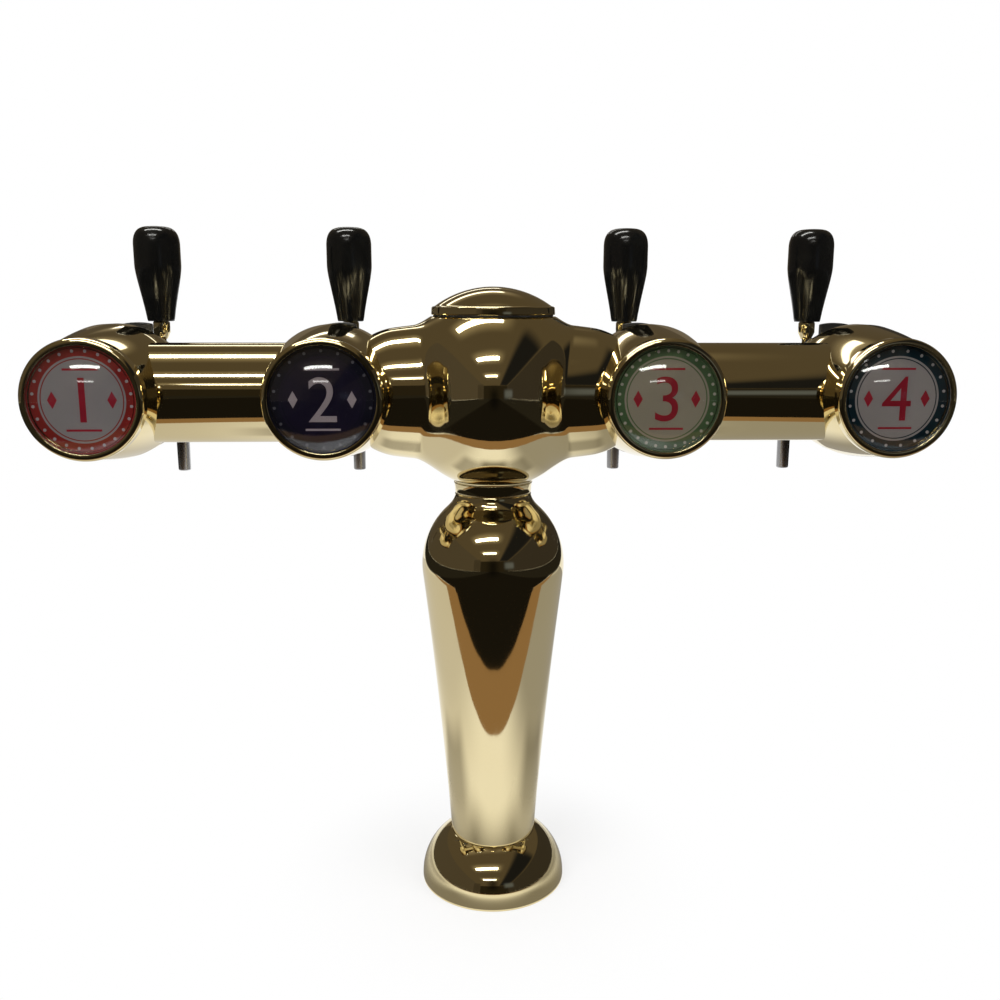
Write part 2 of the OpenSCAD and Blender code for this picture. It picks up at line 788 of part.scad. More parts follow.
module line_couplings() {
    socket = line_radius + fit;
    stop_bore = line_radius - line_wall;
    stop_top = line_end - line_coupling_bottom;
    color("#d8d8d6") for (side = sides, depth = [-line_front, line_back])
        translate([side * line_x, depth, line_coupling_bottom])
            rotate_extrude() polygon([
                [socket, 0], [line_coupling_radius, 0], [line_coupling_radius, line_coupling_length],
                [socket, line_coupling_length], [socket, stop_top], [stop_bore, stop_top],
                [stop_bore, stop_top - line_stop], [socket, stop_top - line_stop]]);
}

base_gasket();
base_ring();
base_flange();
column_shell();
neck_ring();
neck_nipple();
hub_body();
hub_cap();
cap_seal();
hub_nipples();
arm_tube_left();
arm_tube_right();
bezels();
badge_seals();
rear_covers();
shanks();
shank_nuts();
coupling_nuts();
bonnets();
lever_pins();
spouts();
product_lines();
line_couplings();
for (i = taps) {
    housing(i);
    badge(i);
    lens(i);
    tap_body(i);
    lever(i);
    ferrule(i);
    handle(i);
    plunger(i);
    plunger_seal(i);
}
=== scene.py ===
import json
import math

import bmesh
import bpy
import numpy as np
from mathutils import Matrix, Vector


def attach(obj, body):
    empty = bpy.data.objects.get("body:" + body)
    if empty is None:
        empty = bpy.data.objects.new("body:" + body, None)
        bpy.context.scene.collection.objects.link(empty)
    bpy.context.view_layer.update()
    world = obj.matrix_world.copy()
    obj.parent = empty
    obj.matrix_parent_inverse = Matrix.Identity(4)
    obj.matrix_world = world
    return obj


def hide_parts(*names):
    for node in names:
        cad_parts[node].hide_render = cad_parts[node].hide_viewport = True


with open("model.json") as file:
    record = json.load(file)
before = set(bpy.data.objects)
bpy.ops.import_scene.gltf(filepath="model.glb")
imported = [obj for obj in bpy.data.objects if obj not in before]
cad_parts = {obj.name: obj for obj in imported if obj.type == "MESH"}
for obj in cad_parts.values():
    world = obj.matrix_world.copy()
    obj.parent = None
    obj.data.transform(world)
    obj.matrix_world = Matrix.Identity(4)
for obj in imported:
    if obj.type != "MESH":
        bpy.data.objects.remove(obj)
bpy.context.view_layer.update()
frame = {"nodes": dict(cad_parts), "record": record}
scene = bpy.context.scene
scene.view_settings.view_transform = "Standard"
mm = 0.001


# a dictionary whose entries are also read as sizes.name
class Sizes(dict):
    __getattr__ = dict.__getitem__


# places shared by all pieces, in mm, as in the solids
tower = Sizes(armHeight=410.0, innerTap=124.2, outerTap=293.5, leverY=143.7)
tapX = [-tower.outerTap, -tower.innerTap, tower.innerTap, tower.outerTap]
armCentre = (0, 0, tower.armHeight)
print("frame loaded, nodes:", len(frame["nodes"]))


def tapPlace(number, y=0.0):
    return (tapX[number - 1], y, tower.armHeight)


# camera

view = Sizes(place=(-0.0250, -0.7797, 0.4782), yaw=0.0391, pitch=0.1946, roll=0.0018, lens=36.0,
             sensor=36.0)


def makeCamera(v):
    forward = Vector((math.sin(v.yaw) * math.cos(v.pitch),
                      math.cos(v.yaw) * math.cos(v.pitch), -math.sin(v.pitch)))
    right = Vector((math.cos(v.yaw), -math.sin(v.yaw), 0))
    up = right.cross(forward)
    c, s = math.cos(v.roll), math.sin(v.roll)
    right, up = c * right + s * up, c * up - s * right
    data = bpy.data.cameras.new("photoCamera")
    data.lens = v.lens
    data.sensor_width = v.sensor
    camera = bpy.data.objects.new("photoCamera", data)
    turn = Matrix((right, up, -forward)).transposed()
    camera.matrix_world = Matrix.Translation(v.place) @ turn.to_4x4()
    scene.collection.objects.link(camera)
    scene.camera = camera


makeCamera(view)
print("camera set")

# shader helpers; a group has a Vector input, and numbers for the rest


def newGroup(name, inputs, outputs):
    tree = bpy.data.node_groups.new(name, "ShaderNodeTree")
    tree.interface.new_socket("Vector", in_out="INPUT", socket_type="NodeSocketVector")
    for label, value in inputs.items():
        socket = tree.interface.new_socket(label, in_out="INPUT", socket_type="NodeSocketFloat")
        socket.default_value = value
    for label in outputs:
        tree.interface.new_socket(label, in_out="OUTPUT", socket_type="NodeSocketFloat")
    return tree, tree.nodes.new("NodeGroupInput"), tree.nodes.new("NodeGroupOutput")


def addNode(tree, kind, **settings):
    node = tree.nodes.new(kind)
    for key, value in settings.items():
        setattr(node, key, value)
    return node


# a colour or number is set on the socket, anything else is linked to it
def feed(tree, socket, value):
    if isinstance(value, tuple):
        socket.default_value = value + (1.0,)
    elif isinstance(value, (int, float)):
        socket.default_value = value
    else:
        tree.links.new(value, socket)


def feedAll(tree, node, values):
    for label, value in values.items():
        feed(tree, node.inputs[label], value)


def addMath(tree, operation, a, b=None, clamp=False):
    node = addNode(tree, "ShaderNodeMath", operation=operation, use_clamp=clamp)
    feed(tree, node.inputs[0], a)
    if b is not None:
        feed(tree, node.inputs[1], b)
    return node.outputs[0]


def addRange(tree, value, low, high, toLow=0.0, toHigh=1.0):
    node = addNode(tree, "ShaderNodeMapRange", interpolation_type="SMOOTHSTEP")
    for socket, part in zip(node.inputs, (value, low, high, toLow, toHigh)):
        feed(tree, socket, part)
    return node.outputs[0]


def addMix(tree, factor, a, b):
    node = addNode(tree, "ShaderNodeMix", data_type="RGBA")
    for slot, value in ((0, factor), (6, a), (7, b)):
        feed(tree, node.inputs[slot], value)
    return node.outputs[2]


def addNoise(tree, vector, scale, detail=2.0):
    node = addNode(tree, "ShaderNodeTexNoise")
    feedAll(tree, node, {"Vector": vector, "Scale": scale, "Detail": detail})
    return node.outputs["Fac"]


def mixShaders(tree, factor, first, second, out):
    node = addNode(tree, "ShaderNodeMixShader")
    for socket, value in zip(node.inputs, (factor, first.outputs[0], second.outputs[0])):
        feed(tree, socket, value)
    tree.links.new(node.outputs[0], out.inputs["Surface"])


# one for the rays by which the camera, metal and glass see a surface
def seenRays(tree):
    path = addNode(tree, "ShaderNodeLightPath")
    seen = addMath(tree, "ADD", path.outputs["Is Camera Ray"], path.outputs["Is Glossy Ray"], True)
    return addMath(tree, "ADD", seen, path.outputs["Is Transmission Ray"], True)


# marks on polished metal: cloth smears, fine scratches and a slow change of tone

polish = Sizes(smear=(24.0, 5.0), smearRange=(0.46, 0.72), tone=7.0, toneRange=(0.3, 0.7),
               hairScale=(2600.0, 2600.0, 90.0), hairTurn=(0.35, 0.2, 0.0), hairRange=(0.60, 0.74),
               depth=0.00002)


def makePolishMarks(p):
    tree, into, out = newGroup("polishMarks", {"Smear": 0.5, "Scratch": 0.5}, ("Smudge", "Tone", "Height"))
    spot = into.outputs["Vector"]
    stretch = addNode(tree, "ShaderNodeMapping")
    stretch.inputs["Scale"].default_value = p.hairScale
    stretch.inputs["Rotation"].default_value = p.hairTurn
    tree.links.new(spot, stretch.inputs["Vector"])
    smear = addRange(tree, addNoise(tree, spot, *p.smear), *p.smearRange)
    hair = addRange(tree, addNoise(tree, stretch.outputs["Vector"], 1.0, 1.0), *p.hairRange)
    tone = addRange(tree, addNoise(tree, spot, p.tone), *p.toneRange)
    feedAll(tree, out, {"Smudge": addMath(tree, "MULTIPLY", smear, into.outputs["Smear"]), "Tone": tone,
                        "Height": addMath(tree, "MULTIPLY", hair, into.outputs["Scratch"])})
    return tree


# skin of moulded plastic and rubber: its grain, and dust that makes it rougher

mould = Sizes(dust=(60.0, 6.0), dustRange=(0.5, 0.8), dustRough=0.08, depth=0.0002)


def makeMouldSkin(m):
    tree, into, out = newGroup("mouldSkin", {"Grain": 900.0}, ("Dust", "Height"))
    spot = into.outputs["Vector"]
    dust = addRange(tree, addNoise(tree, spot, *m.dust), *m.dustRange)
    feedAll(tree, out, {"Dust": dust, "Height": addNoise(tree, spot, into.outputs["Grain"])})
    return tree


polishMarks = makePolishMarks(polish)
mouldSkin = makeMouldSkin(mould)


def startMaterial(name):
    material = bpy.data.materials.new(name)
    material.use_nodes = True
    tree = material.node_tree
    return material, tree, tree.nodes["Principled BSDF"], addNode(tree, "ShaderNodeTexCoord")


def addBump(tree, shader, height, strength, distance):
    bump = addNode(tree, "ShaderNodeBump")
    feedAll(tree, bump, {"Strength": strength, "Distance": distance, "Height": height})
    tree.links.new(bump.outputs["Normal"], shader.inputs["Normal"])


def metalFinish(name, light, deep, rough, smudged, smear=0.5, scratch=0.5, bump=0.05):
    material, tree, shader, coords = startMaterial(name)
    marks = addNode(tree, "ShaderNodeGroup", node_tree=polishMarks)
    feedAll(tree, marks, {"Vector": coords.outputs["Object"], "Smear": smear, "Scratch": scratch})
    feedAll(tree, shader, {"Base Color": addMix(tree, marks.outputs["Tone"], light, deep), "Metallic": 1.0,
                           "Roughness": addRange(tree, marks.outputs["Smudge"], 0.0, 1.0, rough, smudged)})
    addBump(tree, shader, marks.outputs["Height"], bump, polish.depth)
    return material


def plasticFinish(name, colour, dusty, rough, grain, bump):
    material, tree, shader, coords = startMaterial(name)
    skin = addNode(tree, "ShaderNodeGroup", node_tree=mouldSkin)
    feedAll(tree, skin, {"Grain": grain, "Vector": coords.outputs["Object"]})
    dust = skin.outputs["Dust"]
    feedAll(tree, shader, {"Base Color": addMix(tree, dust, colour, dusty),
                           "Roughness": addRange(tree, dust, 0.0, 1.0, rough, rough + mould.dustRough)})
    addBump(tree, shader, skin.outputs["Height"], bump, mould.depth)
    return material


brass = metalFinish("polishedBrass", light=(0.83, 0.715, 0.435), deep=(0.79, 0.67, 0.385),
                    rough=0.045, smudged=0.10)
innerBrass = metalFinish("turnedBrass", light=(0.72, 0.55, 0.27), deep=(0.60, 0.44, 0.20),
                         rough=0.22, smudged=0.34, smear=0.8, scratch=1.0, bump=0.3)
steel = metalFinish("turnedSteel", light=(0.66, 0.66, 0.67), deep=(0.55, 0.55, 0.56),
                    rough=0.20, smudged=0.34, smear=0.6, scratch=1.0, bump=0.3)
spoutSteel = metalFinish("spoutSteel", light=(0.50, 0.50, 0.50), deep=(0.40, 0.40, 0.41),
                         rough=0.24, smudged=0.38, smear=0.7, scratch=1.0, bump=0.4)
handleBlack = plasticFinish("handleBlack", colour=(0.004, 0.004, 0.0038), dusty=(0.007, 0.007, 0.006),
                            rough=0.16, grain=260.0, bump=0.01)
coverBlack = plasticFinish("coverBlack", colour=(0.012, 0.012, 0.013), dusty=(0.022, 0.022, 0.022),
                           rough=0.32, grain=1400.0, bump=0.08)
sealRubber = plasticFinish("sealRubber", colour=(0.02, 0.02, 0.02), dusty=(0.05, 0.05, 0.05),
                           rough=0.6, grain=1600.0, bump=0.1)
couplingWhite = plasticFinish("couplingWhite", colour=(0.74, 0.74, 0.71), dusty=(0.60, 0.60, 0.56),
                              rough=0.35, grain=1200.0, bump=0.05)
print("metal and plastic finishes made")

# mesh helpers; profiles are lists of (radius, height) in mm

welding = Sizes(points=1e-7, edges=1e-8, sharp=34.0)


def cubic(a, b, c, d, steps=24):
    t = np.linspace(0.0, 1.0, steps + 1)[1:, None]
    a, b, c, d = (np.array(p, float) for p in (a, b, c, d))
    points = (1 - t) ** 3 * a + 3 * (1 - t) ** 2 * t * b + 3 * (1 - t) * t ** 2 * c + t ** 3 * d
    return [tuple(p) for p in points]


def arc(centre, radius, start, end, steps=24):
    angles = np.radians(np.linspace(start, end, steps + 1))
    return [(centre[0] + radius * math.cos(a), centre[1] + radius * math.sin(a)) for a in angles]


# corners that turn by more than the limit are rounded, over at most the given share of each side
def soften(points, radius, limit=25.0, closed=True, steps=4, share=0.45):
    made, count = [], len(points)
    for i, p in enumerate(points):
        if not closed and i in (0, count - 1):
            made.append(p)
            continue
        here = Vector(p)
        back, ahead = Vector(points[i - 1]) - here, Vector(points[(i + 1) % count]) - here
        if min(back.length, ahead.length) < 1e-6 or math.degrees(back.angle(-ahead)) < limit:
            made.append(p)
            continue
        a = here + back.normalized() * min(radius, back.length * share)
        b = here + ahead.normalized() * min(radius, ahead.length * share)
        for k in range(steps + 1):
            t = k / steps
            made.append(tuple((1 - t) ** 2 * a + 2 * t * (1 - t) * here + t ** 2 * b))
    return made


axisTurns = {"z": Matrix.Identity(3), "y": Matrix.Rotation(math.radians(-90), 3, "X"),
             "x": Matrix.Rotation(math.radians(90), 3, "Y"), "down": Matrix.Rotation(math.pi, 3, "X")}


def addObject(name, mesh, material=None):
    piece = bpy.data.objects.new(name, mesh)
    scene.collection.objects.link(piece)
    if material:
        mesh.materials.append(material)
    return piece


def finishMesh(name, verts, faces, material, sharp=welding.sharp):
    mesh = bpy.data.meshes.new(name)
    mesh.from_pydata([tuple(v) for v in verts], [], faces)
    work = bmesh.new()
    work.from_mesh(mesh)
    bmesh.ops.remove_doubles(work, verts=work.verts, dist=welding.points)
    bmesh.ops.dissolve_degenerate(work, edges=work.edges, dist=welding.edges)
    bmesh.ops.recalc_face_normals(work, faces=work.faces)
    work.to_mesh(mesh)
    work.free()
    mesh.polygons.foreach_set("use_smooth", [True] * len(mesh.polygons))
    mesh.set_sharp_from_angle(angle=math.radians(sharp))
    return addObject(name, mesh, material)


# faces between rings of points that follow each other
def ringFaces(rings, points, closed):
    faces = []
    for i in range(rings if closed else rings - 1):
        j = (i + 1) % rings
        for k in range(points):
            n = (k + 1) % points
            faces.append((i * points + k, i * points + n, j * points + n, j * points + k))
    return faces


def spin(name, profile, material, place=(0, 0, 0), turn="z", segments=128, closed=True):
    ring = np.linspace(0.0, 2 * math.pi, segments, endpoint=False)
    rows = np.array(profile, float)
    grid = np.stack([rows[:, 0, None] * np.cos(ring), rows[:, 0, None] * np.sin(ring),
                     np.repeat(rows[:, 1, None], segments, 1)], -1).reshape(-1, 3)
    verts = (grid @ np.array(axisTurns[turn]).T + np.array(place, float)) * mm
    return finishMesh(name, verts, ringFaces(len(rows), segments, closed), material)


def joinPieces(name, pieces):
    joined = bmesh.new()
    for piece in pieces:
        joined.from_mesh(piece.data)
    mesh = bpy.data.meshes.new(name)
    joined.to_mesh(mesh)
    joined.free()
    for material in pieces[0].data.materials:
        mesh.materials.append(material)
    for piece in pieces:
        bpy.data.objects.remove(piece)
    return addObject(name, mesh)


def bakedMesh(piece):
    graph = bpy.context.evaluated_depsgraph_get()
    return bpy.data.meshes.new_from_object(piece.evaluated_get(graph))


def settle(piece, node, body="tower"):
    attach(piece, body)
    if node:
        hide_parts(node)


# geometry nodes; every tree ends in plain geometry with its material


def newGeometryTree(name, inputs):
    tree = bpy.data.node_groups.new(name, "GeometryNodeTree")
    sockets = {"Geometry": "Geometry", **inputs, "Material": "Material"}
    for label, kind in sockets.items():
        tree.interface.new_socket(label, in_out="INPUT", socket_type="NodeSocket" + kind)
    tree.interface.new_socket("Geometry", in_out="OUTPUT", socket_type="NodeSocketGeometry")
    return tree, tree.nodes.new("NodeGroupInput"), tree.nodes.new("NodeGroupOutput")


def endTree(tree, geometry, into, out):
    real = addNode(tree, "GeometryNodeRealizeInstances")
    paint = addNode(tree, "GeometryNodeSetMaterial")
    tree.links.new(geometry, real.inputs[0])
    tree.links.new(real.outputs[0], paint.inputs["Geometry"])
    tree.links.new(into.outputs["Material"], paint.inputs["Material"])
    tree.links.new(paint.outputs[0], out.inputs[0])
    return tree


# one template repeated at the four taps
def makeTapRow():
    tree, into, out = newGeometryTree("tapRow", {"Inner Reach": "Float", "Outer Reach": "Float"})
    join = addNode(tree, "GeometryNodeJoinGeometry")
    for side in (-1.0, 1.0):
        for label in ("Inner Reach", "Outer Reach"):
            spot = addNode(tree, "ShaderNodeCombineXYZ")
            tree.links.new(addMath(tree, "MULTIPLY", into.outputs[label], side), spot.inputs[0])
            move = addNode(tree, "GeometryNodeTransform")
            tree.links.new(into.outputs["Geometry"], move.inputs["Geometry"])
            tree.links.new(spot.outputs[0], move.inputs["Translation"])
            tree.links.new(move.outputs[0], join.inputs[0])
    return endTree(tree, join.outputs[0], into, out)


# ribs in a ring, standing along z
def makeGripRing(ribSides=10):
    tree, into, out = newGeometryTree("gripRing", {"Count": "Int", "Ring Radius": "Float",
                                                   "Rib Radius": "Float", "Rib Length": "Float"})
    circle = addNode(tree, "GeometryNodeMeshCircle")
    rib = addNode(tree, "GeometryNodeMeshCylinder")
    rib.inputs["Vertices"].default_value = ribSides
    for label, socket in (("Count", circle.inputs["Vertices"]), ("Ring Radius", circle.inputs["Radius"]),
                          ("Rib Radius", rib.inputs["Radius"]), ("Rib Length", rib.inputs["Depth"])):
        tree.links.new(into.outputs[label], socket)
    smooth = addNode(tree, "GeometryNodeSetShadeSmooth")
    tree.links.new(rib.outputs["Mesh"], smooth.inputs[0])
    place = addNode(tree, "GeometryNodeInstanceOnPoints")
    tree.links.new(circle.outputs["Mesh"], place.inputs["Points"])
    tree.links.new(smooth.outputs[0], place.inputs["Instance"])
    return endTree(tree, place.outputs[0], into, out)


def growWith(piece, tree, values):
    modifier = piece.modifiers.new(tree.name, "NODES")
    modifier.node_group = tree
    for item in tree.interface.items_tree:
        if item.in_out == "INPUT" and item.name in values:
            modifier[item.identifier] = values[item.name]
    mesh, old = bakedMesh(piece), piece.data
    piece.modifiers.remove(modifier)
    piece.data = mesh
    bpy.data.meshes.remove(old)
    mesh.name = piece.name
    return piece


tapRow = makeTapRow()
gripRing = makeGripRing()


def repeatAtTaps(piece, material):
    return growWith(piece, tapRow, {"Inner Reach": tower.innerTap * mm,
                                    "Outer Reach": tower.outerTap * mm, "Material": material})


# foot, column and neck

footSizes = Sizes(radius=59.3, edge=2.7, height=43.0, top=34.6, recess=50.1, ledge=14.0, hole=28.0,
                  spigot=18.0, edgeRound=0.8, spigotIn=2.1, holeDrop=5.0, ledgeIn=4.0)
columnSizes = Sizes(shoulder=(56.4, 266.08), split=(37.8, 318.08), wall=2.0, bow=1.3, bulge=(1.8, 15.0),
                    crown=(16.7, -16.0))
neckSizes = Sizes(narrow=(30.1, 332.08), top=(31.8, 342.08), bore=26.1, spigot=9.0, spigotIn=2.1,
                  groove=0.55, grooveHalf=0.75, grooves=(331.6, 340.4), splitPull=(-4.8, 4.6),
                  narrowLow=(0.0, 6.0), narrowHigh=(0.0, 4.0), topPull=(1.0, 2.0))


def makeFoot(s):
    rise = s.height - s.edge
    centre = (s.radius ** 2 - s.top ** 2 - rise ** 2) / (2 * (s.radius - s.top))
    end = math.degrees(math.atan2(rise, s.top - centre))
    spigot, spigotTop = s.top - s.spigotIn, s.height + s.spigot
    profile = [(s.recess, 0.0), (s.radius - s.edgeRound, 0.0), (s.radius, s.edgeRound)]
    profile += arc((centre, s.edge), s.radius - centre, 0, end, 56)
    profile += [(spigot, s.height), (spigot, spigotTop), (s.hole, spigotTop), (s.hole, s.height - s.holeDrop),
                (s.recess - s.ledgeIn, s.ledge), (s.recess, s.ledge)]
    settle(spin("footDome", profile, brass, segments=192), "base_flange")


def columnOutline(s):
    foot = np.array((footSizes.top, footSizes.height))
    joint, split = np.array(s.shoulder), np.array(s.split)
    middle = (foot + joint) / 2 - (2 * s.bow, 0)
    low, high = foot + (middle - foot) * 2 / 3, joint + (middle - joint) * 2 / 3
    return ([tuple(foot)] + cubic(foot, low, high, joint, 48)
            + cubic(joint, joint + s.bulge, split + s.crown, split, 56))


def makeColumn(s):
    outline = columnOutline(s)
    inner = [(r - s.wall, z) for r, z in reversed(outline)]
    piece = spin("columnShell", outline + inner, brass, segments=192)
    settle(piece, "column_shell")


def makeNeck(s):
    split, narrow, top = (np.array(p) for p in (columnSizes.split, s.narrow, s.top))
    outline = [tuple(split)] + cubic(split, split + s.splitPull, narrow - s.narrowLow, narrow, 60)
    outline += cubic(narrow, narrow + s.narrowHigh, top - s.topPull, top, 60)
    grooved = []
    for r, z in outline:
        deep = sum(max(0.0, 1 - ((z - g) / s.grooveHalf) ** 2) for g in s.grooves)
        grooved.append((r - s.groove * deep, z))
    spigot, low = split[0] - s.spigotIn, split[1] - s.spigot
    profile = grooved + [(s.bore, top[1]), (s.bore, low), (spigot, low), (spigot, split[1])]
    settle(spin("neckRing", profile, brass, segments=160), "neck_ring")


makeFoot(footSizes)
makeColumn(columnSizes)
makeNeck(neckSizes)
print("foot, column and neck made")

# outline of a tap housing, on which the hub arms end

housingSizes = Sizes(front=(43.0, -52.5), full=52.0, belly=(5.0, 25.0), rear=(43.0, 72.0), wall=2.5,
                     neck=40.8, neckFront=-56.5, bore=37.8, hole=11.5, rearWall=4.0, frontPull=(4.0, 17.0),
                     fullPull=(2.0, 19.0), turnPull=(0.0, 10.0), rearPull=(3.5, -15.0))


def housingSide(s, depth, back):
    front = np.array((s.front[0] - depth, s.front[1]))
    full = np.array((s.full - depth, s.belly[0]))
    turn = np.array((s.full - depth, s.belly[1]))
    end = np.array((s.rear[0] - depth, back))
    return ([tuple(front)] + cubic(front, front + s.frontPull, full - s.fullPull, full, 40)
            + cubic(turn, turn + s.turnPull, end + s.rearPull, end, 32))


housingOutline = np.array(housingSide(housingSizes, 0.0, housingSizes.rear[1]))

# hub: a ball with two arms, blended into one casting

hubSizes = Sizes(ball=75.0, squeeze=17.0, armRoot=(42.0, 53.4), bell=(76.0, 49.6), end=(108.0, 32.0),
                 armFlat=0.86, fillet=9.0, wall=3.0, capSeat=47.5, neckSeat=31.8, sink=0.3, rootRise=4.0,
                 rootPull=(12.0, -1.2), bellIn=(12.0, -1.6), bellOut=(9.0, -1.2), endPull=(10.0, -12.0),
                 around=208, along=64, firstReach=80.0, rounds=16, sharp=60.0)
capSizes = Sizes(radius=47.5, top=44.7, rim=6.6, dome=14.6, seal=1.2, mouth=40.9, spigot=8.0, wall=3.0,
                 rimIn=0.4, rimDrop=0.6, rimRound=0.9)


def armProfile(s):
    root, bell, end = (np.array(p) for p in (s.armRoot, s.bell, s.end))
    points = [(0.0, root[1] + s.rootRise), tuple(root)]
    points += cubic(root, root + s.rootPull, bell - s.bellIn, bell, 40)
    return np.array(points + cubic(bell, bell + s.bellOut, end - s.endPull, end, 40))


hubArm = armProfile(hubSizes)


# the ball is drawn in beside the arms, and the arms are flatter at the front than on top
def hubRadius(s, x, a):
    reach = s.ball - s.squeeze * math.cos(a) ** 2
    ball = s.ball * math.sqrt(max(1 - (x / reach) ** 2, 0.0))
    arm = float(np.interp(x, hubArm[:, 0], hubArm[:, 1]))
    arm /= math.hypot(math.cos(a) / s.armFlat, math.sin(a))
    k = s.fillet
    h = max(0.0, min(1.0, 0.5 + 0.5 * (ball - arm) / k))
    return arm * (1 - h) + ball * h + k * h * (1 - h)


def seatHeight(radius):
    return math.sqrt(hubSizes.ball ** 2 - radius ** 2)


def makeHub(s):
    floor, roof = -seatHeight(s.neckSeat), seatHeight(s.capSeat)
    verts = []
    for i in range(s.around):
        a = 2 * math.pi * i / s.around
        reach = s.firstReach
        for _ in range(s.rounds):  # closes in on where the arm meets the drum
            r = hubRadius(s, reach, a)
            drum = np.interp(r * math.cos(a), housingOutline[:, 1], housingOutline[:, 0]) - s.sink
            reach = tower.innerTap - math.sqrt(drum ** 2 - (r * math.sin(a)) ** 2)
        spots = [reach * (j - s.along) / s.along for j in range(2 * s.along + 1)]
        for wall, run in ((0.0, spots), (s.wall, spots[::-1])):
            for x in run:
                r = hubRadius(s, abs(x), a) - wall
                verts.append((x, r * math.cos(a), min(roof - wall, max(floor + wall, r * math.sin(a)))))
    faces = ringFaces(s.around, 2 * (2 * s.along + 1), True)
    verts = (np.array(verts) + armCentre) * mm
    settle(finishMesh("hubBody", verts, faces, brass, s.sharp), "hub_body")


def makeCap(s):
    seat = tower.armHeight + seatHeight(hubSizes.capSeat) + s.seal
    top, low = seat + s.rim, seat - s.spigot
    dome = (s.top ** 2 + s.dome ** 2) / (2 * s.dome)
    spread = math.degrees(math.asin(s.top / dome))
    bore = s.mouth - s.wall
    rim = soften([(s.mouth, seat), (s.radius, seat), (s.radius - s.rimIn, top - s.rimDrop),
                  (s.top, top)], s.rimRound, closed=False)
    profile = [(bore, low), (s.mouth, low)] + rim
    profile += arc((0, top + s.dome - dome), dome, 90 - spread, 90, 48)
    profile += [(0, top + s.dome - s.wall), (bore, top)]
    settle(spin("hubCap", profile, brass, segments=192), "hub_cap")


makeHub(hubSizes)
makeCap(capSizes)

# arm tubes

tubeSizes = Sizes(radius=38.1, wall=2.0, port=33.89, rows=10)


def makeTube(s, side, name, node):
    steps = np.linspace(tower.innerTap + s.port, tower.outerTap - s.port, s.rows)
    inner = s.radius - s.wall
    profile = [(s.radius, side * x) for x in steps] + [(inner, side * x) for x in steps[::-1]]
    settle(spin(name, profile, brass, armCentre, "x", 160), node)


makeTube(tubeSizes, -1, "armTubeLeft", "arm_tube_left")
makeTube(tubeSizes, 1, "armTubeRight", "arm_tube_right")
print("hub, cap and arms made")

# tap housings with bezels and rear covers

bezelSizes = Sizes(radius=44.0, lip=38.8, front=-63.5, lipBack=-61.0, thread=40.9, back=-52.6, round=3.4,
                   lipEdge=(0.5, 0.2), lipRound=0.25, backEdge=0.5)
coverSizes = Sizes(radius=43.0, front=72.0, back=79.0, hole=11.5, round=2.0, edge=0.6,
                   grooveOuter=(30.0, 29.4), grooveInner=(28.0, 27.4), grooveDepth=0.5, tab=12.0,
                   tabRoot=38.0, tabSink=0.3, tabTop=52.0, tabRound=2.0, tabFrontEdge=0.4, tabBackEdge=0.8)


def makeHousing(s, number):
    rear, inside = s.rear[1], s.rear[1] - s.rearWall
    profile = [(s.bore, s.neckFront), (s.neck, s.neckFront), (s.neck, s.front[1])]
    profile += housingSide(s, 0.0, rear) + [(s.hole, rear), (s.hole, inside)]
    profile += housingSide(s, s.wall, inside)[::-1] + [(s.bore, s.front[1])]
    piece = spin(f"housing{number}", profile, brass, tapPlace(number), "y", 176)
    settle(piece, f"housing_{number}")


def makeBezels(s):
    corner = (s.radius - s.round, s.front + s.round)
    lipOut, lipDeep = s.lipEdge
    lip = soften([(s.thread, s.lipBack), (s.lip, s.lipBack), (s.lip, s.front + lipDeep),
                  (s.lip + lipOut, s.front)], s.lipRound, closed=False)
    profile = lip + arc(corner, s.round, -90, 0, 18)
    profile += [(s.radius, s.back - s.backEdge), (s.radius - s.backEdge, s.back), (s.thread, s.back)]
    piece = spin("bezels", profile, brass, armCentre, "y", 176)
    settle(repeatAtTaps(piece, brass), "bezels")


def makeTab(s):
    spread = math.degrees(math.asin(s.tab / s.tabTop))
    outline = arc((0, 0), s.tabTop, 90 - spread, 90 + spread, 16)
    outline = soften(outline + [(-s.tab, s.tabRoot), (s.tab, s.tabRoot)], s.tabRound)
    front, back = s.front + s.tabSink, s.back - s.tabSink
    rings = ((s.tabFrontEdge, front), (0.0, front + s.tabFrontEdge),
             (0.0, back - s.tabBackEdge), (s.tabBackEdge, back))
    verts, count = [], len(outline)
    for inset, y in rings:
        verts += [(x * (1 - inset / s.tab), y, tower.armHeight + z - inset) for x, z in outline]
    last = len(verts) - 1
    faces = [tuple(range(count)), tuple(range(last, last - count, -1))]
    faces += ringFaces(len(rings), count, False)
    return finishMesh("coverTab", np.array(verts) * mm, faces, coverBlack)


def makeCovers(s):
    outer, inner, deep = s.grooveOuter, s.grooveInner, s.back - s.grooveDepth
    profile = soften([(s.hole, s.front), (s.radius - s.edge, s.front),
                      (s.radius, s.front + s.edge), (s.radius, s.back - s.round),
                      (s.radius - s.round, s.back), (outer[0], s.back), (outer[1], deep),
                      (inner[0], deep), (inner[1], s.back), (s.hole, s.back)], s.edge)
    disc = spin("coverDisc", profile, coverBlack, armCentre, "y", 128)
    piece = joinPieces("rearCovers", [disc, makeTab(s)])
    settle(repeatAtTaps(piece, coverBlack), "rear_covers")


for tap in range(1, 5):
    makeHousing(housingSizes, tap)
makeBezels(bezelSizes)
makeCovers(coverSizes)
print("housings made")

# badges: printed discs of a plain design of their own, under clear domes

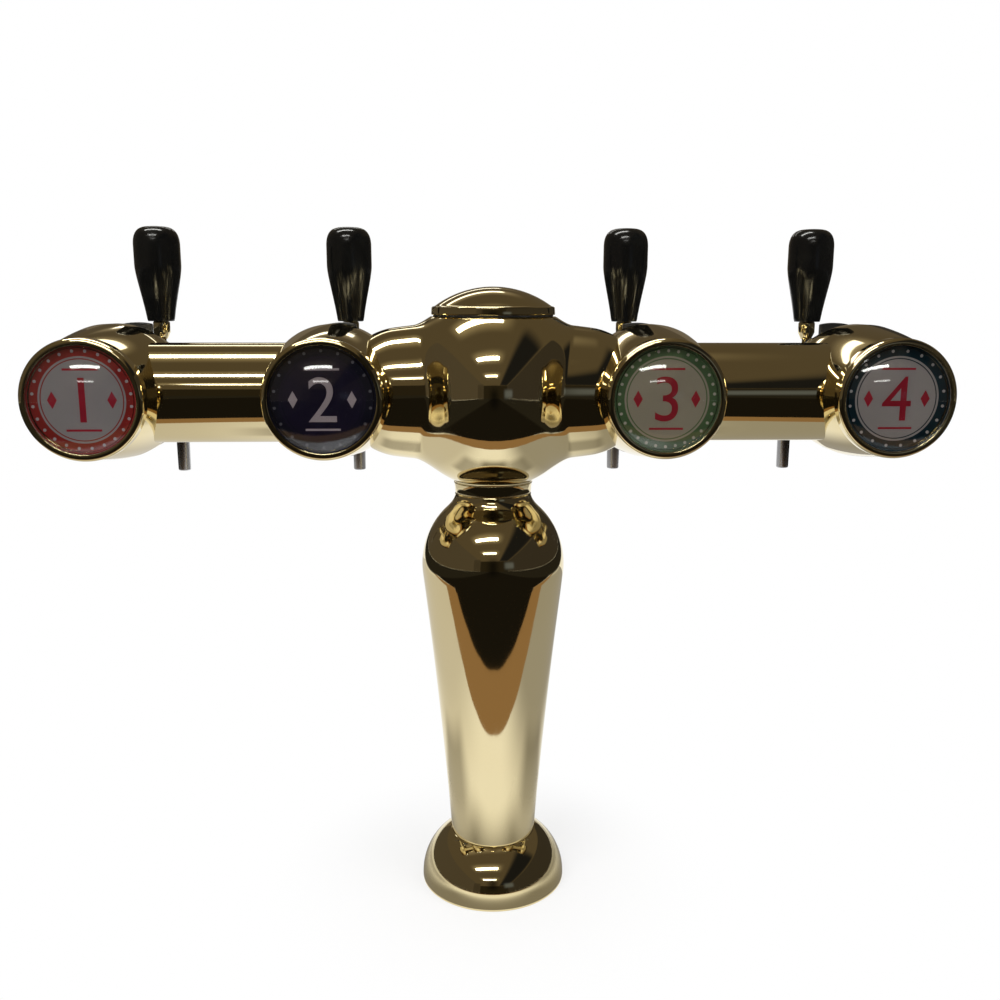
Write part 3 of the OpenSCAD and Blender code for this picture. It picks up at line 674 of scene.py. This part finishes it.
badgeSizes = Sizes(radius=40.8, front=-59.0, back=-57.5, numberSize=46.0, numberLift=0.06, numberThick=0.05)
badgeInks = [
    Sizes(field=(0.200, 0.180, 0.178), ring=(0.165, 0.012, 0.010), mark=(0.215, 0.008, 0.018), beads=24),
    Sizes(field=(0.006, 0.004, 0.014), ring=(0.003, 0.003, 0.009), mark=(0.260, 0.215, 0.225), beads=18),
    Sizes(field=(0.215, 0.185, 0.135), ring=(0.046, 0.080, 0.034), mark=(0.215, 0.010, 0.018), beads=30),
    Sizes(field=(0.220, 0.195, 0.185), ring=(0.002, 0.012, 0.018), mark=(0.215, 0.008, 0.018), beads=20),
]
badgePaper = Sizes(worn=0.9, wornRange=(0.35, 0.7), beadLift=0.06, rimInk=(0.012, 0.010, 0.010),
                   roughRange=(0.3, 0.7), rough=(0.42, 0.5), shine=0.08, inkRough=0.45, inkWorn=0.8,
                   inkGrain=900.0)

# print of a badge in its own UV map: a coloured band with beads, a hair line, a bar above and below,
# and a diamond on each side; pairs are the two ends of a soft edge

printSizes = Sizes(bandIn=(0.372, 0.376), bandOut=(0.462, 0.466), hairIn=(0.346, 0.349),
                   hairOut=(0.355, 0.358), beadRing=0.419, bead=(0.012, 0.015), diamondAt=0.255,
                   diamondSlope=0.55, diamond=(0.040, 0.043), barAt=0.262, barHalf=(0.008, 0.011),
                   barReach=(0.150, 0.154), rim=(0.476, 0.480), fibre=(140.0, 4.0))


def makeBadgePrint(s):
    tree, into, out = newGroup("badgePrint", {"Beads": 24.0}, ("Band", "Bead", "Mark", "Rim", "Fibre"))
    beads = into.outputs["Beads"]

    def calc(operation, a, b=None):
        return addMath(tree, operation, a, b)

    def length(a, b):
        return calc("SQRT", calc("ADD", calc("MULTIPLY", a, a), calc("MULTIPLY", b, b)))

    def apart(value, middle):
        return calc("ABSOLUTE", calc("SUBTRACT", calc("ABSOLUTE", value), middle))

    def within(value, edge):
        return addRange(tree, value, *edge, 1.0, 0.0)

    def between(value, inner, outer):
        return calc("MULTIPLY", addRange(tree, value, *inner), within(value, outer))

    split = addNode(tree, "ShaderNodeSeparateXYZ")
    tree.links.new(into.outputs["Vector"], split.inputs[0])
    across, up = (calc("SUBTRACT", split.outputs[axis], 0.5) for axis in (0, 1))
    radius = length(across, up)
    turn = calc("MULTIPLY", calc("ARCTAN2", up, across), 0.5 / math.pi)
    step = calc("SUBTRACT", calc("FRACT", calc("MULTIPLY", turn, beads)), 0.5)
    aside = calc("MULTIPLY", step, calc("DIVIDE", 2 * math.pi * s.beadRing, beads))
    bead = length(aside, calc("SUBTRACT", radius, s.beadRing))
    slope = calc("MULTIPLY", calc("ABSOLUTE", up), s.diamondSlope)
    diamond = calc("ADD", apart(across, s.diamondAt), slope)
    bars = calc("MULTIPLY", within(apart(up, s.barAt), s.barHalf),
                within(calc("ABSOLUTE", across), s.barReach))
    band = between(radius, s.bandIn, s.bandOut)
    hair = between(radius, s.hairIn, s.hairOut)
    feedAll(tree, out, {"Band": calc("MAXIMUM", band, hair), "Bead": within(bead, s.bead),
                        "Mark": calc("MAXIMUM", within(diamond, s.diamond), bars),
                        "Rim": addRange(tree, radius, *s.rim),
                        "Fibre": addNoise(tree, into.outputs["Vector"], *s.fibre)})
    return tree


badgePrint = makeBadgePrint(printSizes)


def badgeFinish(number, inks, paper):
    material, tree, shader, coords = startMaterial(f"badgePrint{number}")
    motif = addNode(tree, "ShaderNodeGroup", node_tree=badgePrint)
    feedAll(tree, motif, {"Beads": inks.beads, "Vector": coords.outputs["UV"]})
    pale, fibre = inks.field, motif.outputs["Fibre"]
    wornPale, beadPale = tuple(paper.worn * c for c in pale), tuple(paper.beadLift + c for c in pale)
    colour = addMix(tree, addRange(tree, fibre, *paper.wornRange), pale, wornPale)
    for label, ink in (("Band", inks.ring), ("Bead", beadPale), ("Mark", inks.mark),
                       ("Rim", paper.rimInk)):
        colour = addMix(tree, motif.outputs[label], colour, ink)
    roughness = addRange(tree, fibre, *paper.roughRange, *paper.rough)
    feedAll(tree, shader, {"Base Color": colour, "Roughness": roughness, "Specular IOR Level": paper.shine})
    return material


def inkFinish(number, ink, paper):
    material, tree, shader, coords = startMaterial(f"badgeInk{number}")
    grain = addNoise(tree, coords.outputs["Object"], paper.inkGrain)
    worn = tuple(paper.inkWorn * c for c in ink)
    feedAll(tree, shader, {"Base Color": addMix(tree, grain, ink, worn), "Roughness": paper.inkRough,
                           "Specular IOR Level": paper.shine})
    return material


def makeBadge(s, number, inks):
    profile = [(0.0, s.front), (s.radius, s.front), (s.radius, s.back), (0.0, s.back)]
    place = tapPlace(number)
    finish = badgeFinish(number, inks, badgePaper)
    disc = spin(f"badge{number}", profile, finish, place, "y", 128, closed=False)
    layer = disc.data.uv_layers.new(name="print")
    for loop in disc.data.loops:
        p = disc.data.vertices[loop.vertex_index].co
        layer.data[loop.index].uv = (0.5 + (p.x - place[0] * mm) / (2 * s.radius * mm),
                                     0.5 + (p.z - place[2] * mm) / (2 * s.radius * mm))
    settle(disc, f"badge_{number}")


# the number is a thin solid in front of its badge
def makeNumber(s, number, inks):
    curve = bpy.data.curves.new(f"number{number}", "FONT")
    curve.body = str(number)
    curve.size = s.numberSize * mm
    curve.extrude = s.numberThick / 2 * mm
    curve.align_x, curve.align_y = "CENTER", "CENTER"
    text = bpy.data.objects.new("numberShape", curve)
    scene.collection.objects.link(text)
    mesh = bakedMesh(text)
    bpy.data.objects.remove(text)
    spots = [v.co for v in mesh.vertices]
    middle = (Vector(np.min(spots, 0)) + Vector(np.max(spots, 0))) / 2
    turn = Matrix.Rotation(math.radians(90), 4, "X")
    put = Matrix.Translation(Vector(tapPlace(number, s.front - s.numberLift)) * mm)
    mesh.transform(put @ turn @ Matrix.Translation(-middle))
    faces = [tuple(p.vertices) for p in mesh.polygons]
    shape = finishMesh(f"badgeNumber{number}", [v.co for v in mesh.vertices], faces,
                       inkFinish(number, inks.mark, badgePaper))
    bpy.data.meshes.remove(mesh)
    settle(shape, None)


lensSizes = Sizes(flange=40.8, back=-59.12, flangeFront=-61.0, edge=38.6, rise=1.7, dome=14.0, wall=2.5)
lensGlass = Sizes(tint=(0.97, 0.98, 0.98), ior=1.49, smear=(60.0, 4.0), smearRange=(0.45, 0.8),
                  smearRough=0.03)


def lensFinish(g):
    material, tree, shader, coords = startMaterial("lensClear")
    smear = addNoise(tree, coords.outputs["Object"], *g.smear)
    roughness = addRange(tree, smear, *g.smearRange, 0.0, g.smearRough)
    feedAll(tree, shader, {"Base Color": g.tint, "Transmission Weight": 1.0, "IOR": g.ior,
                           "Roughness": roughness})
    clear = addNode(tree, "ShaderNodeBsdfTransparent")
    path = addNode(tree, "ShaderNodeLightPath")
    mixShaders(tree, path.outputs["Is Shadow Ray"], shader, clear, tree.nodes["Material Output"])
    return material


lensClear = lensFinish(lensGlass)


def makeLens(s, number):
    dome = (s.edge ** 2 + s.dome ** 2) / (2 * s.dome)
    spread = math.degrees(math.asin(s.edge / dome))
    centre = (0, s.flangeFront - s.rise - s.dome + dome)
    inner, room = dome - s.wall, s.edge - s.wall
    inside = math.degrees(math.asin(room / inner))
    profile = arc(centre, inner, -90, -90 + inside, 40)
    profile += [(room, s.back), (s.flange, s.back), (s.flange, s.flangeFront), (s.edge, s.flangeFront)]
    profile += arc(centre, dome, -90 + spread, -90, 40)
    piece = spin(f"lens{number}", profile, lensClear, tapPlace(number), "y", 144, closed=False)
    settle(piece, f"lens_{number}")


for tap in range(1, 5):
    makeBadge(badgeSizes, tap, badgeInks[tap - 1])
    makeNumber(badgeSizes, tap, badgeInks[tap - 1])
    makeLens(lensSizes, tap)
print("badges and lenses made")

# taps behind the housings

couplingSizes = Sizes(radius=20.0, start=82.3, end=97.3, thread=13.6, mouth=91.0, room=16.1, lip=94.1,
                      barrel=13.1, chamfer=1.0, round=0.4, ribs=40, rib=0.9, ribSink=0.55, ribLength=10.0)
bonnetSizes = Sizes(radius=16.5, bottom=14.0, top=27.5, hole=7.9, seat=23.0, thread=13.5, chamfer=1.0,
                    round=0.6, slot=3.9, slotEnd=13.0, slotOver=1.0, ribs=44, rib=0.7, ribSink=0.55,
                    ribLength=8.0, ribDrop=1.0)
castingSizes = Sizes(flange=16.0, mouth=91.0, barrelStart=94.0, barrel=13.0, end=160.7, chamfer=3.0,
                     barrelRound=1.2, boss=13.4, bossTop=23.0, bossRound=0.6, ball=9.3, ballFloor=10.0,
                     nose=8.6, noseSink=2.0, noseRoot=2.2, noseBend=(0.4, 1.6), noseEase=2.5, noseRun=5.0,
                     block=10.0, blockDrop=20.0, blockRound=1.6)
spoutSizes = Sizes(reach=47.0, drop=91.5, radius=6.4, tip=5.8, bore=4.0, socket=20.0, grip=10.0, collar=4.0,
                   collarRadius=9.0, chamfer=1.0, tipEdge=(0.5, 1.2), round=0.6)


def addRibs(name, s, place, turn):
    ribs = addObject(name, bpy.data.meshes.new(name))
    ringRadius = s.radius - s.ribSink
    growWith(ribs, gripRing, {"Count": s.ribs, "Ring Radius": ringRadius * mm, "Rib Radius": s.rib * mm,
                              "Rib Length": s.ribLength * mm, "Material": brass})
    ribs.data.transform(Matrix.Translation(Vector(place) * mm) @ axisTurns[turn].to_4x4())
    return ribs


def makeCouplings(s):
    rim = s.radius - s.chamfer
    profile = soften([(s.thread, s.start), (rim, s.start), (s.radius, s.start + s.chamfer),
                      (s.radius, s.end - s.chamfer), (rim, s.end), (s.barrel, s.end), (s.barrel, s.lip),
                      (s.room, s.lip), (s.room, s.mouth), (s.thread, s.mouth)], s.round)
    nut = spin("couplingShape", profile, brass, armCentre, "y", 96)
    ribs = addRibs("couplingRibs", s, (0, (s.start + s.end) / 2, tower.armHeight), "y")
    piece = joinPieces("couplingNuts", [nut, ribs])
    settle(repeatAtTaps(piece, brass), "coupling_nuts")


def cutAway(piece, low, high):
    corners = [(x, y, z) for x in (low[0], high[0]) for y in (low[1], high[1]) for z in (low[2], high[2])]
    sides = [(0, 1, 3, 2), (4, 6, 7, 5), (0, 4, 5, 1), (2, 3, 7, 6), (0, 2, 6, 4), (1, 5, 7, 3)]
    tool = finishMesh("slotTool", np.array(corners) * mm, sides, None)
    cut = piece.modifiers.new("slot", "BOOLEAN")
    cut.object, cut.operation, cut.solver = tool, "DIFFERENCE", "EXACT"
    mesh = bakedMesh(piece)
    piece.modifiers.remove(cut)
    piece.data = mesh
    mesh.set_sharp_from_angle(angle=math.radians(welding.sharp))
    bpy.data.objects.remove(tool)


def makeBonnets(s):
    lever, high = tower.leverY, tower.armHeight
    profile = soften([(s.thread, s.bottom), (s.radius, s.bottom), (s.radius, s.top - s.chamfer),
                      (s.radius - s.chamfer, s.top), (s.hole, s.top), (s.hole, s.seat),
                      (s.thread, s.seat)], s.round)
    ring = spin("bonnetShape", profile, brass, (0, lever, high), "z", 96)
    cutAway(ring, (-s.slot, lever, high + s.seat - s.slotOver),
            (s.slot, lever + s.slotEnd, high + s.top + s.slotOver))
    ribs = addRibs("bonnetRibs", s, (0, lever, high + (s.bottom + s.top) / 2 - s.ribDrop), "z")
    piece = joinPieces("bonnets", [ring, ribs])
    settle(repeatAtTaps(piece, brass), "bonnets")


def makeCasting(s, number):
    lever, spout = tower.leverY, tower.leverY + spoutSizes.reach
    barrel = soften([(0, s.mouth), (s.flange, s.mouth), (s.flange, s.barrelStart),
                     (s.barrel, s.barrelStart), (s.barrel, s.end - s.chamfer),
                     (s.barrel - s.chamfer, s.end), (0, s.end)], s.barrelRound, closed=False)
    boss = soften([(0, 0), (s.boss, 0), (s.boss, s.bossTop), (s.ball, s.bossTop),
                   (s.ball, s.ballFloor), (0, s.ballFloor)], s.bossRound, closed=False)
    start, bend = s.end - s.noseSink, s.noseBend
    nose = [(0, start)] + cubic((s.nose + s.noseRoot, start), (s.nose + bend[0], start + bend[1]),
                                (s.nose, start + s.noseEase), (s.nose, start + s.noseRun), 10)
    nose += [(s.nose, spout), (0, spout)]
    block = soften([(0, s.block), (s.block, s.block), (s.block, -s.blockDrop),
                    (0, -s.blockDrop)], s.blockRound, closed=False)
    pieces = [spin("barrelShape", barrel, brass, tapPlace(number), "y", 96, closed=False),
              spin("bossShape", boss, brass, tapPlace(number, lever), "z", 96, closed=False),
              spin("noseShape", nose, brass, tapPlace(number), "y", 72, closed=False),
              spin("blockShape", block, brass, tapPlace(number, spout), "z", 72, closed=False)]
    settle(joinPieces(f"tapBody{number}", pieces), f"tap_body_{number}")


def makeSpouts(s):
    top, collarEnd, wide = s.socket - s.grip, s.socket + s.collar, s.collarRadius
    tipIn, tipUp = s.tipEdge
    profile = soften([(s.bore, top), (s.radius, top), (s.radius, s.socket), (wide, s.socket),
                      (wide, collarEnd - s.chamfer), (wide - s.chamfer, collarEnd),
                      (s.radius, collarEnd), (s.tip, s.drop - tipUp), (s.tip - tipIn, s.drop),
                      (s.bore, s.drop)], s.round)
    place = (0, tower.leverY + s.reach, tower.armHeight)
    piece = spin("spouts", profile, spoutSteel, place, "down", 64)
    settle(repeatAtTaps(piece, spoutSteel), "spouts")


makeCouplings(couplingSizes)
makeBonnets(bonnetSizes)
for tap in range(1, 5):
    makeCasting(castingSizes, tap)
makeSpouts(spoutSizes)

# ferrules and handles move with the bodies of their levers

ferruleSizes = Sizes(bore=3.6, low=36.0, radius=7.3, cone=6.0, top=51.6, edge=1.0, round=0.7)
# wide, shoulder and the pulls along the handle are shares of its length, crown is a share of its radius
handleSizes = Sizes(bore=3.6, low=51.6, length=82.5, radius=19.9, foot=11.7, wide=0.6, shoulder=0.8,
                    crown=0.45, crownDrop=0.006, hole=77.6, footIn=1.0, footEdge=0.3, footLift=0.9,
                    flare=(2.5, 0.24), widePull=0.115, shoulderPull=0.11, crownPull=(0.4, 0.012),
                    tip=(3.0, 0.3))


def makeFerrule(s, number):
    profile = soften([(s.bore, s.low), (s.bore + s.edge, s.low),
                      (s.radius, s.low + s.cone), (s.radius, s.top - s.edge),
                      (s.radius - s.edge, s.top), (s.bore, s.top)], s.round)
    piece = spin(f"ferrule{number}", profile, brass, tapPlace(number, tower.leverY), "z", 72)
    settle(piece, f"ferrule_{number}", body=f"lever_{number}")


def makeHandle(s, number):
    low, span, radius = s.low, s.length, s.radius
    top = low + span
    foot = np.array((s.foot, low))
    wide = np.array((radius, low + s.wide * span))
    shoulder = np.array((radius, low + s.shoulder * span))
    crown = np.array((s.crown * radius, top - s.crownDrop * span))
    flare = (s.flare[0], s.flare[1] * span)
    crownPull = (s.crownPull[0] * radius, -s.crownPull[1] * span)
    tipIn, tipUp = s.tip
    profile = [(s.bore, s.hole), (s.bore, low), (s.foot - s.footIn, low),
               (s.foot - s.footEdge, low + s.footEdge)]
    profile += cubic(foot + (0, s.footLift), foot + flare, wide - (0, s.widePull * span), wide, 40)
    profile += cubic(shoulder, shoulder + (0, s.shoulderPull * span), crown + crownPull, crown, 40)
    profile += cubic(crown, crown + (-tipIn, tipUp), (tipIn, top), (0.0, top), 8) + [(0.0, s.hole)]
    piece = spin(f"handle{number}", profile, handleBlack, tapPlace(number, tower.leverY), "z", 112)
    settle(piece, f"handle_{number}", f"lever_{number}")


for tap in range(1, 5):
    makeFerrule(ferruleSizes, tap)
    makeHandle(handleSizes, tap)
print("taps and handles made")

# finishes of the solids that stay as they are

solidFinishes = {"polished_brass": brass, "inner_brass": innerBrass, "plain_steel": steel,
                 "seal_rubber": sealRubber, "coupling_plastic": couplingWhite, "spout_steel": spoutSteel,
                 "black_cover": coverBlack, "black_handle": handleBlack, "lens_clear": lensClear}
for part in frame["record"]["subparts"]:
    solid, finish = frame["nodes"][part["node"]], solidFinishes.get(part["material_slot"])
    if finish and not solid.hide_render:
        solid.data.materials.clear()
        solid.data.materials.append(finish)
print("solid finishes set")

# stage: pale table, lamps, and cards that only the shiny surfaces see, in metres
# each card: its corner and two sides, its tone, the shares of its sides that fade out, how dense it is

cards = {
    "cardFront": ((-4, -10, -0.2), (8, 0, 0), (0, 0, 2.8), (0.022, 0.0175, 0.0105)),
    "cardMiddle": ((-0.32, -1.15, 0), (0.56, 0, 0), (0, 0, 0.72), (0.003, 0.003, 0.003), (0.5, 0.4), 0.75),
    "cardShelf": ((0.45, -1.9, 0.25), (0.80, 0, 0), (0, 0, 0.50), (0.16, 0.19, 0.24), (0.3, 0.4), 0.6),
    "cardDoor": ((-2.6, -4.0, 0), (1.1, 0, 0), (0, 0, 1.5), (0.055, 0.045, 0.032), (0.2, 0.2)),
    "groundLeft": ((-4, -10, 0.007), (3.10, 0, 0), (0, 19, 0), (0.02, 0.018, 0.014), (0.04, 0)),
    "groundRight": ((0.90, -10, 0.007), (3.10, 0, 0), (0, 19, 0), (0.02, 0.018, 0.014), (0.04, 0)),
    # painted shadow: these soft dark sheets lie on the table and are seen only in reflections; they stand in
    # for the shade that the tower and its arms cast on the table
    "tableShadowLeft": ((-1.1, -0.30, 0.003), (1.03, 0, 0), (0, 1.5, 0), (0.25, 0.22, 0.18), (0.30, 0), 0.45),
    "tableShadowRight": ((0.04, -0.30, 0.003), (1.06, 0, 0), (0, 1.1, 0), (0.12, 0.105, 0.085), (0.26, 0), 0.72),
    # painted shadow: darker sheets around the foot, seen only in reflections, stand in for the shade on the
    # table close to the foot
    "footShadowMiddle": ((-0.14, -0.14, 0.002), (0.28, 0, 0), (0, 0.28, 0), (0.14, 0.125, 0.10), (0.3, 0.3), 0.85),
    "footShadowLeft": ((-0.30, -0.12, 0.0035), (0.24, 0, 0), (0, 0.32, 0), (0.12, 0.105, 0.085), (0.35, 0.3), 0.55),
    "footShadowRight": ((0.06, -0.12, 0.0035), (0.24, 0, 0), (0, 0.32, 0), (0.10, 0.088, 0.07), (0.35, 0.3), 0.55),
    "cardRoof": ((-4, -10, 2.6), (8, 0, 0), (0, 19, 0), (0.095, 0.075, 0.048)),
    "roofRight": ((1.15, -10, 2.55), (2.85, 0, 0), (0, 10.6, 0), (0.012, 0.012, 0.013), (0.2, 0.1)),
    "cardLeft": ((-4, -10, 0.01), (0, 19, 0), (0, 0, 2.6), (0.08, 0.066, 0.048)),
    "cardRight": ((4, -10, 0.01), (0, 19, 0), (0, 0, 2.6), (0.04, 0.034, 0.027)),
    "cardBack": ((-4, 9, 0.01), (8, 0, 0), (0, 0, 2.6), (0.16, 0.13, 0.09)),
}

# the table edge that the metal mirrors is an arc, so its wood and the dark ground are made of short lengths

tableEdge = Sizes(centre=0.88, first=-64.0, step=8.0, lengths=16, overlap=0.05)
edgeBands = {
    "ground": Sizes(radius=1.22, depth=10.8, height=0.004, tone=(0.010, 0.0085, 0.0065)),
    "wood": Sizes(radius=1.12, depth=0.11, height=0.005, tone=(0.30, 0.18, 0.085)),
}


def edgePoint(band, angle):
    turn = math.radians(angle)
    return Vector((band.radius * math.sin(turn), tableEdge.centre - band.radius * math.cos(turn), band.height))


for k in range(tableEdge.lengths):
    angle = tableEdge.first + tableEdge.step * k
    for name, band in edgeBands.items():
        start = edgePoint(band, angle)
        across = edgePoint(band, angle + tableEdge.step + tableEdge.overlap) - start
        cards[f"{name}{k}"] = (start, across, (0, -band.depth, 0), band.tone)

# strip lamps overhead, each with its glow around it

stripSizes = Sizes(left=-1.7, length=2.1, height=2.5, tone=(1.0, 1.0, 0.955), soft=(0.06, 0.3),
                   glowAside=0.6, glowHeight=2.56, glowTone=(0.44, 0.37, 0.25), glowSoft=(0.3, 0.5),
                   glowCover=0.8)
strips = {
    "Far": {"y": 0.00, "wide": 0.40, "power": 18.0},
    "Near": {"y": -2.40, "wide": 0.40, "power": 22.0},
    "Deep": {"y": -5.25, "wide": 0.70, "power": 7.0},
    "Rear": {"y": 2.40, "wide": 0.50, "power": 3.0},
    "Last": {"y": 4.70, "wide": 0.70, "power": 3.0},
}


def addStrip(s, name, y, wide, power):
    left, length, aside = s.left, s.length, s.glowAside
    tone = tuple(power * c for c in s.tone)
    cards["strip" + name] = ((left, y, s.height), (length, 0, 0), (0, wide, 0), tone, s.soft)
    cards["glow" + name] = ((left - aside, y - aside, s.glowHeight), (length + 2 * aside, 0, 0),
                            (0, wide + 2 * aside, 0), s.glowTone, s.glowSoft, s.glowCover)


for name, strip in strips.items():
    addStrip(stripSizes, name, **strip)


def cardFinish(name, tone, soft, cover):
    material = bpy.data.materials.new(name)
    material.use_nodes = True
    tree = material.node_tree
    tree.nodes.clear()
    glow = addNode(tree, "ShaderNodeEmission")
    feed(tree, glow.inputs["Color"], tone)
    clear = addNode(tree, "ShaderNodeBsdfTransparent")
    coords = addNode(tree, "ShaderNodeTexCoord")
    split = addNode(tree, "ShaderNodeSeparateXYZ")
    tree.links.new(coords.outputs["UV"], split.inputs[0])
    mask = cover
    for axis, width in enumerate(soft):
        if width:
            low = addRange(tree, split.outputs[axis], 0.0, width)
            high = addRange(tree, split.outputs[axis], 1.0 - width, 1.0, 1.0, 0.0)
            mask = addMath(tree, "MULTIPLY", mask, addMath(tree, "MULTIPLY", low, high))
    mixShaders(tree, mask, clear, glow, addNode(tree, "ShaderNodeOutputMaterial"))
    return material


def makeCard(name, corner, across, up, tone, soft=(0, 0), cover=1.0):
    corner, across, up = (Vector(v) for v in (corner, across, up))
    mesh = bpy.data.meshes.new(name)
    mesh.from_pydata([corner, corner + across, corner + across + up, corner + up], [], [(0, 1, 2, 3)])
    layer = mesh.uv_layers.new(name="card")
    for loop, spot in enumerate(((0, 0), (1, 0), (1, 1), (0, 1))):
        layer.data[loop].uv = spot
    card = addObject(name, mesh, cardFinish(name, tone, soft, cover))
    card.visible_camera = False
    card.visible_diffuse = False
    card.visible_shadow = False
    card.visible_volume_scatter = False


# the table is white all over and keeps its shadow near the foot only

table = Sizes(half=12.0, colour=(0.95, 0.95, 0.95), rough=0.9, shine=0.1, shadowNear=0.07, shadowFar=0.20,
              shadowLoss=0.70)


def makeFloor(s):
    half = s.half
    mesh = bpy.data.meshes.new("table")
    corners = [(-half, -half, 0), (half, -half, 0), (half, half, 0), (-half, half, 0)]
    mesh.from_pydata(corners, [], [(0, 1, 2, 3)])
    material, tree, shader, coords = startMaterial("tablePale")
    feedAll(tree, shader, {"Base Color": s.colour, "Roughness": s.rough, "Specular IOR Level": s.shine})
    distance = addNode(tree, "ShaderNodeVectorMath", operation="LENGTH")
    tree.links.new(coords.outputs["Object"], distance.inputs[0])
    white = addRange(tree, distance.outputs["Value"], s.shadowNear, s.shadowFar, s.shadowLoss, 1.0)
    mask = addMath(tree, "MULTIPLY", white, seenRays(tree))
    glow = addNode(tree, "ShaderNodeEmission")
    mixShaders(tree, mask, shader, glow, tree.nodes["Material Output"])
    addObject("table", mesh, material)


# the world is white where it is seen, and lights the object at a lower level

skyLight = 0.62


def makeWorld():
    world = bpy.data.worlds.new("studio")
    scene.world = world
    world.use_nodes = True
    tree = world.node_tree
    tree.nodes.clear()
    sky = addNode(tree, "ShaderNodeBackground")
    sky.inputs["Color"].default_value = (1, 1, 1, 1)
    tree.links.new(addRange(tree, seenRays(tree), 0.0, 1.0, skyLight, 1.0), sky.inputs["Strength"])
    out = addNode(tree, "ShaderNodeOutputWorld")
    tree.links.new(sky.outputs[0], out.inputs["Surface"])


lamps = [
    {"name": "keyLamp", "place": (-0.9, -1.2, 1.9), "size": (1.2, 0.8), "power": 22.0},
    {"name": "fillLamp", "place": (1.2, -0.6, 1.6), "size": (1.0, 1.0), "power": 10.0},
]
lampAim = Vector((0, 0, 0.3))


def makeLamp(name, place, size, power):
    data = bpy.data.lights.new(name, "AREA")
    data.shape = "RECTANGLE"
    data.size, data.size_y = size
    data.energy = power
    lamp = bpy.data.objects.new(name, data)
    lamp.location = place
    lamp.rotation_euler = (lampAim - Vector(place)).to_track_quat("-Z", "Y").to_euler()
    lamp.visible_glossy = False
    lamp.visible_transmission = False
    lamp.visible_camera = False
    scene.collection.objects.link(lamp)


for name, values in cards.items():
    makeCard(name, *values)
makeFloor(table)
makeWorld()
for lamp in lamps:
    makeLamp(**lamp)
print("stage set")
